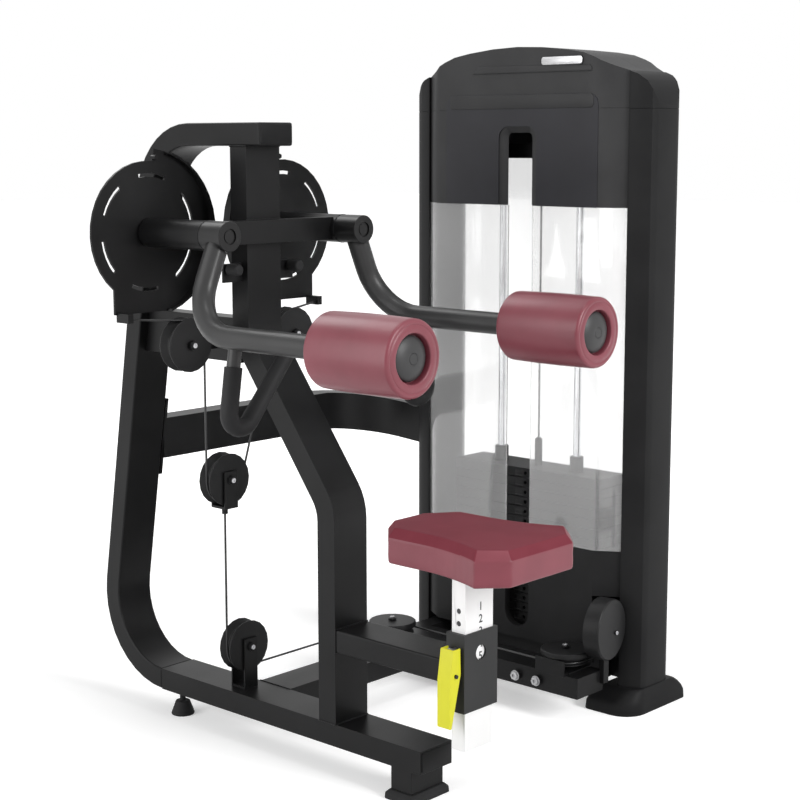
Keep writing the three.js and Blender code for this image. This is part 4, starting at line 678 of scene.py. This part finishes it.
# Faces that look up take the second, duller leather with its painted shade.
cushion.data.materials.append(shaded_top_leather)
for face in cushion.data.polygons:
    up, level = face.normal.z, face.normal.to_2d().normalized()
    cut = CUT_FACING[0] < abs(level.x) < CUT_FACING[1] and level.y < 0
    face.material_index = int(up > TOP_FACING or (up > BEVEL_FACING and not cut))
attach(cushion, "seat")
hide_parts("seat_cushion")

# The arm bearings and cams: two bored tubes on a flat cross bar and two slotted steel discs, in the frame's
# coat. The arms are bent round tube in a smoother black coat whose colour is painted a paler grey, a painted
# sheen for the lamps' reflections on it. They are welded to turned collars that keep a dark matt coat, and
# end in moulded foam grips.
# The arms' paler grey is painted sheen: the glossy black tube's reflections put into its colour.
ARM_SHEEN_COAT = {"dark": grey(0.03, 0.0003), "light": grey(0.038, 0.0004), "rough": 0.34, "specular": 0.3}
ARM_PEEL = 0.06
ARM_AXIS = {"x": 0.2008, "z": 1.178}
ARM_CORNER = 0.001
COLLAR_REACH = (0.0325, 0.0375)
COLLAR_COAT = grey(0.007, 0.0003)
BEARING_CORNER = 0.0015
CAM_CORNER = 0.0007
dress("arm_bearing_bar", frame_coat, BEARING_CORNER)
for side, sign in (("left", -1), ("right", 1)):
    collar = (spot(sign * ARM_AXIS["x"], 0, ARM_AXIS["z"]), COLLAR_REACH, COLLAR_COAT)
    arm_sheen_coat = coated_steel(f"{side}_arm_sheen_coat", *ARM_SHEEN_COAT.values(), ARM_PEEL, collar)
    dress(f"{side}_arm", arm_sheen_coat, ARM_CORNER, 2)
    dress(f"{side}_cam", frame_coat, CAM_CORNER, 2)
    dress(f"{side}_grip", moulded(f"{side}_grip_foam", RUBBER, RUBBER_LIGHT, 0.6, 500.0, 0.0006, 0.2))

# A thin moulded nylon washer runs between each arm's collar and its bearing tube, so that the coats don't
# rub. It is slipped over the shaft before the arm goes in.
THRUST_WASHER = {"radius": 0.0325, "front": 0.1864, "back": 0.1880, "bore": 0.0318, "edge": 0.0003}
nylon = moulded("nylon", grey(0.0085), grey(0.0135), 0.44, 700.0, 0.0002, 0.22)
for side, sign in (("left", -1), ("right", 1)):
    wide, front, back, bore, edge = THRUST_WASHER.values()
    profile = [(bore, front), (wide - edge, front), (wide, front + edge), (wide, back - edge)]
    profile += [(wide - edge, back), (bore, back)]
    washer = turned(f"{side}_thrust_washer", profile, (sign * ARM_AXIS["x"], ARM_AXIS["z"]), nylon)
    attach(washer, "frame")

# The roller pads: foam tubes in the same burgundy sheet, sewn to a flat ring at each end, turning on the
# arms' axles. A domed black cap of moulded plastic, with a flat boss, is pressed over the axle in the
# hollow of each front end.
ROLLER_SIDES = 96
ROLLER = {"x": 0.285, "z": 0.982, "radius": 0.0745, "front": -0.466, "back": -0.251, "round": 0.007}
ROLLER_RECESS = {"radius": 0.047, "deep": 0.018}
ROLLER_BORE = 0.0176
ROLLER_CROWN = 0.0015
ROLLER_SEWN = {"radius": 0.0635, "half": 0.0008, "deep": 0.0006}
ROLLER_RIPPLE = {"round": 3, "along": 12, "deep": 0.0003}
ROLLER_SEAM = {"angle": 1.5 * math.pi, "half": 0.02, "deep": 0.0012}
CAP = {"radius": 0.043, "back": -0.4487, "front": -0.4577, "boss": 0.0105, "rise": 0.0078, "dome": 0.0385}
CAP_GROOVE = {"lip": 0.0004, "deep": 0.0012, "far": 0.0008, "wide": 0.0014}
CAP_RIM = 0.0405


def quarter(radius, along, corner, start, turn, steps=8):
    """A rounded corner of a turned profile, from an angle through a quarter turn."""
    made = []
    for step in range(steps + 1):
        angle = start + turn * step / steps
        made.append((radius + corner * math.cos(angle), along + corner * math.sin(angle)))
    return made


def roller_profile():
    """The roller from its bore round the back end, the crowned barrel, the front end and its hollow."""
    r = ROLLER["radius"]
    c = ROLLER["round"]
    front = ROLLER["front"]
    back = ROLLER["back"]
    long = back - front
    sewn, half = ROLLER_SEWN["radius"], ROLLER_SEWN["half"]
    groove = ROLLER_SEWN["deep"]
    profile = [(ROLLER_BORE, back), (sewn - half, back), (sewn, back - groove), (sewn + half, back)]
    profile += quarter(r - c, back - c, c, math.pi / 2, -math.pi / 2)
    for share in (0.97, 0.8, 0.6, 0.5, 0.4, 0.2, 0.03):
        along = front + c + (long - 2 * c) * share
        profile.append((r + ROLLER_CROWN * math.sin(math.pi * share), along))
    profile += quarter(r - c, front + c, c, 0, -math.pi / 2)
    profile += [(sewn + half, front), (sewn, front + groove), (sewn - half, front)]
    recess = ROLLER_RECESS["radius"]
    deep = front + ROLLER_RECESS["deep"]
    profile += [(recess + 0.003, front + 0.0002), (recess + 0.001, front + 0.0009), (recess, front + 0.003)]
    profile += [(recess - 0.0005, deep - 0.001), (recess - 0.002, deep), (ROLLER_BORE, deep)]
    return profile


def roller_wave(angle, along, radius):
    """Small tension ripples in the sheet, and the lengthwise seam on the hidden underside."""
    if radius < ROLLER_RECESS["radius"] + 0.004:
        return 0.0
    turn = ROLLER_RIPPLE["round"]
    place = Vector((math.cos(angle) * turn, math.sin(angle) * turn, along * ROLLER_RIPPLE["along"]))
    seam = math.exp(-(((angle - ROLLER_SEAM["angle"]) / ROLLER_SEAM["half"]) ** 2))
    return noise.noise(place) * ROLLER_RIPPLE["deep"] - seam * ROLLER_SEAM["deep"]


def cap_profile():
    """The cap from its axis outwards: flat boss in a fine groove, a dome, a chamfer and the wall."""
    boss, rise, front, radius = CAP["boss"], CAP["rise"], CAP["front"], CAP["radius"]
    top = front - rise
    lip, deep = CAP_GROOVE["lip"], CAP_GROOVE["deep"]
    profile = [(0, top), (boss - 0.0006, top), (boss, top + lip)]
    profile += [(boss + 0.0002, top + deep), (boss + CAP_GROOVE["far"], top + 0.0003)]
    start = boss + CAP_GROOVE["wide"]
    for step in range(9):
        share = step / 8
        drop = (rise - 0.0016) * (1 - share**2.2)
        profile.append((start + (CAP["dome"] - start) * share, front - 0.0015 - drop))
    profile += [(CAP_RIM, front - 0.0004), (radius - 0.0008, front + 0.0012), (radius, front + 0.0028)]
    return profile + [(radius, CAP["back"]), (0, CAP["back"])]


roller_leather = leather("roller_leather", LEATHER_DEEP, LEATHER, 0.32, 0.42)
cap_plastic = moulded("cap_plastic", grey(0.028, 0.001), grey(0.04, 0.001), 0.42, 600.0, 0.0003, 0.35)
for side, sign in (("left", -1), ("right", 1)):
    middle = (sign * ROLLER["x"], ROLLER["z"])
    pad = turned(f"{side}_pad", roller_profile(), middle, roller_leather, "y", ROLLER_SIDES, 50, roller_wave)
    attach(pad, f"{side}_roller")
    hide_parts(f"{side}_roller_pad")
    cap = turned(f"{side}_end_cap", cap_profile(), middle, cap_plastic, "y", ROLLER_SIDES, 28)
    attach(cap, f"{side}_arm")
    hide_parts(f"{side}_roller_cap")

# The pulleys: black moulded nylon, turned smooth in the grooves. Each runs on a bolt between its cheeks, with
# a bright zinc-plated head and a dark washer. The cables are steel strand in a black plastic skin.
PULLEY_CORNER = 0.0008
CLEVIS_CORNER = 0.001
for node in (
    "left_upper_pulley", "right_upper_pulley", "floating_pulley", "bottom_pulley", "back_corner_pulley",
    "front_corner_pulley", "tower_pulley", "front_head_pulley", "back_head_pulley", "tower_pulley_guard",
):
    dress(node, nylon, PULLEY_CORNER, 2)
dress("floating_clevis", frame_coat, CLEVIS_CORNER)


# A screw head's profile in shares of its radius and height: chamfered wall, flat top and hollow drive
SCREW_SHARES = (
    (0, 0), (0.97, 0), (1, 0.12), (1, 0.78), (0.86, 1), (0.46, 1), (0.42, 0.92), (0.42, 0.45), (0, 0.4),
)


def screw(name, body, axis, centre, face, outward, radius, sides=6, finish=zinc):
    """A plated screw head with a hollow drive and a chamfer, standing out from a face along an axis."""
    tall = 0.6 * radius * outward
    profile = [(radius * wide, face + tall * high) for wide, high in SCREW_SHARES]
    head = turned(name, profile, centre, finish, axis, sides, 28)
    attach(head, body)


def ring(name, body, axis, centre, face, outward, inner, outer, thick, finish, slot):
    """A flat washer with broken edges."""
    edge = 0.25 * thick * outward
    top = face + thick * outward
    profile = [(inner, face), (outer, face), (outer, top - edge), (outer - abs(edge), top), (inner, top)]
    washer = turned(name, profile, centre, finish, axis, 48, 28)
    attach(washer, body)


PULLEY_SCREWS = {
    "left_upper": ("frame", (-0.157, 0.934)), "right_upper": ("frame", (0.157, 0.934)),
    "floating": ("floating_carriage", (-0.052, 0.619)), "bottom": ("frame", (0.0, 0.219)),
}
BOLT_FACE = 0.2915
PULLEY_WASHER = {"inner": 0.001, "outer": 0.0085, "thick": 0.001}
PULLEY_SCREW_RADIUS = 0.0058
ROUND_HEAD = 24
for name, (body, centre) in PULLEY_SCREWS.items():
    washer = (*PULLEY_WASHER.values(), rubber, "plastic_black")
    ring(f"{name}_pulley_washer", body, "y", centre, BOLT_FACE, -1, *washer)
    face = BOLT_FACE - PULLEY_WASHER["thick"]
    screw(f"{name}_pulley_screw", body, "y", centre, face, -1, PULLEY_SCREW_RADIUS, ROUND_HEAD)
CORNER_BOLTS = {"back_corner": (0.508, 0.320), "front_corner": (0.613, -0.149)}
CORNER_BOLT_TOP = 0.174
CORNER_BOLT_RADIUS = 0.0068
for name, centre in CORNER_BOLTS.items():
    screw(f"{name}_bolt", "frame", "z", centre, CORNER_BOLT_TOP, 1, CORNER_BOLT_RADIUS)
GUARD_BOLT = {"middle": (0.6724, 0.213), "face": -0.2556, "radius": 0.0046}
guard_middle, guard_face, guard_radius = GUARD_BOLT.values()
screw("guard_screw", "frame", "y", guard_middle, guard_face, -1, guard_radius, ROUND_HEAD)
BASE_BOLTS = {"front": (-0.111, 0.093), "back": (-0.048, 0.093)}
BASE_BOLT_FACE = 0.547
BASE_BOLT_RADIUS = 0.0105
BASE_WASHER = {"inner": 0.004, "outer": 0.0125, "thick": 0.0012}
base_zinc = metal("base_zinc", grey(0.5, 0.01), grey(0.36, 0.01), 0.45)
for name, centre in BASE_BOLTS.items():
    washer = (*BASE_WASHER.values(), base_zinc, "bright_steel")
    ring(f"{name}_base_washer", "frame", "x", centre, BASE_BOLT_FACE, -1, *washer)
    face = BASE_BOLT_FACE - BASE_WASHER["thick"]
    screw(f"{name}_base_bolt", "frame", "x", centre, face, -1, BASE_BOLT_RADIUS, 6, base_zinc)
cable_skin = moulded("cable_skin", grey(0.012), grey(0.022, 0.001), 0.4, 2500.0, 0.0002)
for node in ("arm_cable", "stack_cable"):
    dress(node, cable_skin)

# The tower's posts and feet: posts of extruded profile with rounded edges, in a dull black coat. A low
# moulded shroud is pushed round the foot of each.
POST_ROUND = 0.0035
SHROUD_ROUND = 0.006
post_coat = coated_steel("post_coat", grey(0.013), grey(0.018), 0.5, 0.1)
for node in ("front_tower_post", "back_tower_post"):
    dress(node, post_coat, POST_ROUND)
shroud = moulded("shroud", grey(0.0085), grey(0.0125), 0.5, 500.0, 0.0004, 0.12)
for node in ("front_tower_foot", "back_tower_foot"):
    dress(node, shroud, SHROUD_ROUND)

# The covers: shells of moulded black plastic with a fine grain like leather, clipped between the posts. The
# cap's two halves are a little paler than the two lower covers.
CAP_EDGE = 0.0012
LOWER_EDGE = 0.001
GRAIN_SCALE = 420.0
GRAIN_DEPTH = 0.0004
COVER = grey(0.025, 0.001)
COVER_DARK = grey(0.018, 0.0008)
LOWER = grey(0.016)
LOWER_DARK = grey(0.011)
cover_skin = moulded("cover_skin", COVER_DARK, COVER, 0.52, GRAIN_SCALE, GRAIN_DEPTH, 0.28)
lower_skin = moulded("lower_skin", LOWER_DARK, LOWER, 0.5, GRAIN_SCALE, GRAIN_DEPTH, 0.16)
for node in ("near_lower_cover", "far_lower_cover"):
    dress(node, lower_skin, LOWER_EDGE, 2)
for node in ("top_cover", "far_top_cover"):
    dress(node, cover_skin, CAP_EDGE, 2)

# The shields: clear acrylic sheets, bent at the sides and clipped between the posts, with a light haze from
# years of wiping. They let the light through to the weights.
HAZE_TONE = grey(0.95, 0.0)
HAZE_LEAST = 0.12
HAZE_MOST = 0.15
acrylic, add, join, end = material("acrylic")
clear = add("ShaderNodeBsdfPrincipled", Roughness=0.07, IOR=1.49, Transmission_Weight=1.0, Base_Color=WHITE)
haze = add("ShaderNodeBsdfPrincipled", Roughness=0.6, Base_Color=HAZE_TONE)
where = add("ShaderNodeTexCoord")
wipe = add("ShaderNodeTexNoise", Scale=5.0, Detail=5.0)
join(where.outputs["Object"], wipe.inputs["Vector"])
amount = add("ShaderNodeMapRange")
amount.inputs["To Min"].default_value = HAZE_LEAST
amount.inputs["To Max"].default_value = HAZE_MOST
join(wipe.outputs["Fac"], amount.inputs["Value"])
body = add("ShaderNodeMixShader")
join(amount.outputs["Result"], body.inputs[0])
join(clear.outputs[0], body.inputs[1])
join(haze.outputs[0], body.inputs[2])
see_through = add("ShaderNodeBsdfTransparent")
rays = add("ShaderNodeLightPath")
last = add("ShaderNodeMixShader")
join(rays.outputs["Is Shadow Ray"], last.inputs[0])
join(body.outputs[0], last.inputs[1])
join(see_through.outputs[0], last.inputs[2])
join(last.outputs[0], end.inputs["Surface"])
for node in ("near_shield_front", "near_shield_back", "far_shield"):
    dress(node, acrylic)

# The placard: a plastic film in dark blue grey, glued to the cap and left plain. Over it the cap has a
# moulded title strip, and higher up a raised ledge that carries a bare badge of brushed metal.
FILM = (0.029, 0.0288, 0.0335, 1)
FILM_DARK = (0.024, 0.0238, 0.0275, 1)
FILM_EDGE = 0.0003
NEAR_FACE = 0.701
sheet_film = moulded("placard_film", FILM_DARK, FILM, 0.42, 900.0, 0.0001, 0.2)
dress("placard", sheet_film, FILM_EDGE, 1)
badge_metal = metal("badge_metal", grey(0.56, 0.01), grey(0.44, 0.01), 0.36, (1, 40, 1), 500.0)


SLIMMEST = 0.4


def drawn_in(outline, inset):
    """An outline with every side moved inwards by the same distance."""
    moved = []
    for index, corner in enumerate(outline):
        before = (corner - outline[index - 1]).normalized()
        after = (outline[(index + 1) % len(outline)] - corner).normalized()
        inward_before = Vector((-before.y, before.x))
        halfway = (inward_before + Vector((-after.y, after.x))).normalized()
        moved.append(corner + halfway * inset / max(SLIMMEST, halfway.dot(inward_before)))
    return moved


def plaque(name, corners, radius, back, front, edge, finish, slot, body="frame", axis="x"):
    """A flat plate with rounded corners and a softened front edge, facing along an axis."""
    outline = softened([Vector(c) for c in corners], radius, turns=8)
    toward = 1 if back > front else -1
    levels = [(0, back), (0, front + edge * toward), (edge * 0.3, front + edge * 0.3 * toward), (edge, front)]
    points = []
    for inset, depth in levels:
        for p in drawn_in(outline, inset):
            points.append(on_plane(axis, depth, p.x, p.y))
    size = len(outline)
    faces = [tuple(range(size)), tuple(range(size * 3, size * 4))]
    for level in range(3):
        for i in range(size):
            j = (i + 1) % size
            low, high = level * size, (level + 1) * size
            faces.append((low + i, low + j, high + j, high + i))
    piece = new_piece(name, points, faces, finish, 40)
    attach(piece, body)
    return piece


TITLE = oblong(-0.144, 0.296, 1.4502, 1.4832)
TITLE_PLATE = {"round": 0.011, "sunk": 0.002, "proud": 0.0036, "edge": 0.001}
LEDGE = ((-0.139, 1.5345), (0.227, 1.5345), (0.208, 1.5546), (-0.1345, 1.5493))
LEDGE_PLATE = {"round": 0.007, "sunk": 0.0, "proud": 0.0028, "edge": 0.0018}
BADGE = oblong(-0.1105, 0.009, 1.5518, 1.5702)
BADGE_PLATE = {"round": 0.0075, "sunk": 0.003, "proud": 0.0042, "edge": 0.0006}
FIELD = oblong(-0.1065, 0.005, 1.5552, 1.5668)
FIELD_PLATE = {"round": 0.005, "sunk": 0.0042, "proud": 0.0046, "edge": 0.0003}
for name, corners, plate, finish, slot in (
    ("title_strip", TITLE, TITLE_PLATE, cover_skin, "cover_black"),
    ("cap_ledge", LEDGE, LEDGE_PLATE, cover_skin, "cover_black"),
    ("name_badge", BADGE, BADGE_PLATE, badge_metal, "bright_steel"),
    ("name_badge_field", FIELD, FIELD_PLATE, badge_metal, "bright_steel"),
):
    back, front = NEAR_FACE - plate["sunk"], NEAR_FACE - plate["proud"]
    plaque(name, corners, plate["round"], back, front, plate["edge"], finish, slot)

# A thin near-black band runs along the cap just above the placard, from post to post, where its upper shell
# begins: painted shade for the shadowed groove where the two mouldings meet.
SEAM_LEVEL = 1.4490
SEAM_HALF = 0.0007
SEAM_PROUD = 0.0004
SEAM_SUNK = 0.0006
SEAM_PLAN = ((0.7378, -0.2210), (0.701, -0.161), (0.701, 0.333), (0.7378, 0.3930))
seam_points = []
for depth, rise in (
    (SEAM_SUNK, -SEAM_HALF), (-SEAM_PROUD, -SEAM_HALF), (-SEAM_PROUD, SEAM_HALF), (SEAM_SUNK, SEAM_HALF),
):
    seam_points += [spot(x + depth, y, SEAM_LEVEL + rise) for x, y in SEAM_PLAN]
seam_size = len(SEAM_PLAN)
seam_faces = [tuple(seam_size * k for k in range(4)), tuple(seam_size * (k + 1) - 1 for k in range(4))]
for side in range(4):
    for i in range(seam_size - 1):
        low, high = side * seam_size + i, (side + 1) % 4 * seam_size + i
        seam_faces.append((low, low + 1, high + 1, high))
# The band takes the rubber's near-black as painted shade of the groove.
seam = new_piece("cap_seam_shade", seam_points, seam_faces, rubber, 20)
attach(seam, "frame")

# The end plugs: moulded plastic, pressed into the open front ends of the top beam and the base beam. Each
# stands a little proud, with a bevelled rim.
PLUG_HALF = 0.0462
PLUG = {"round": 0.005, "proud": 0.0022, "edge": 0.0012}
BEAM_ENDS = {"top_beam_plug": (0.191, 1.3671, 1.4101), "base_beam_plug": (-0.273, 0.0738, 0.1170)}
for name, (end, bottom, top) in BEAM_ENDS.items():
    plug = oblong(-PLUG_HALF, PLUG_HALF, bottom, top)
    front = end - PLUG["proud"]
    plaque(name, plug, PLUG["round"], end, front, PLUG["edge"], shroud, "plastic_black", "frame", "y")

# The weight stack: cast iron plates painted black. They slide on two polished chrome guide rods that stand on
# rubber buffers, and the pin's yellow knob is moulded on.
CHROME = (0.82, 0.83, 0.85, 1)
CHROME_SHADE = (0.74, 0.75, 0.77, 1)
PLATE_EDGE = 0.0005
KNOB_EDGE = 0.0008
rod_chrome = metal("rod_chrome", CHROME, CHROME_SHADE, 0.16, (1, 1, 40), 400.0)
for node in ("front_guide_rod", "back_guide_rod"):
    dress(node, rod_chrome)
iron = coated_steel("stack_iron", grey(0.006, 0.0003), grey(0.01, 0.0003), 0.5, 0.15, 0.3)
for node in ("resting_stack", "lifted_stack"):
    dress(node, iron, PLATE_EDGE, 1)
knob = moulded("knob_plastic", LEVER_DEEP, LEVER_YELLOW, 0.35, 500.0, 0.0001)
dress("selector_pin", knob, KNOB_EDGE)

# Each plate carries a small tag of stamped metal beside its pin hole, glued on: a dull plate with a paler
# line under it.
TAG = {"left": 0.094, "right": 0.118, "tall": 0.013, "line": 0.0014, "proud": 0.0004}
TAG_ROUND = 0.0006
TAG_EDGE = 0.0002
PLATE_PITCH = 0.025
PLATE_FACE = 0.750
PLATES = {"moving_stack": (0.557, 10, "lifted"), "frame": (0.307, 6, "resting")}
tag_paint = moulded("tag_paint", grey(0.006, 0.0003), grey(0.009, 0.0003), 0.5, 800.0, 0.0001, 0.2)
tag_line = moulded("tag_line", grey(0.03, 0.0), grey(0.045, 0.0), 0.5, 800.0, 0.0001, 0.2)
for body, (top, count, name) in PLATES.items():
    for index in range(count):
        middle = top - (index + 0.5) * PLATE_PITCH
        low, high = middle - TAG["tall"] / 2, middle + TAG["tall"] / 2
        field = oblong(TAG["left"], TAG["right"], low, high)
        line = oblong(TAG["left"], TAG["right"], low - TAG["line"], low)
        front = PLATE_FACE - TAG["proud"]
        for part, shape, paint in (("tag", field, tag_paint), ("line", line, tag_line)):
            tag = f"{name}_{part}_{index + 1}"
            plaque(tag, shape, TAG_ROUND, PLATE_FACE, front, TAG_EDGE, paint, "stack_plate", body)

# A block of moulded rubber lies on the sole beam under the stack. It takes the plates' fall, with a small gap
# left under the lowest one.
BLOCK = oblong(0.0, 0.172, 0.1207, 0.1553)
BLOCK_PLATE = {"round": 0.004, "back": 0.845, "front": 0.765, "edge": 0.002}
plaque("stack_block", BLOCK, *BLOCK_PLATE.values(), rubber, "plastic_black")
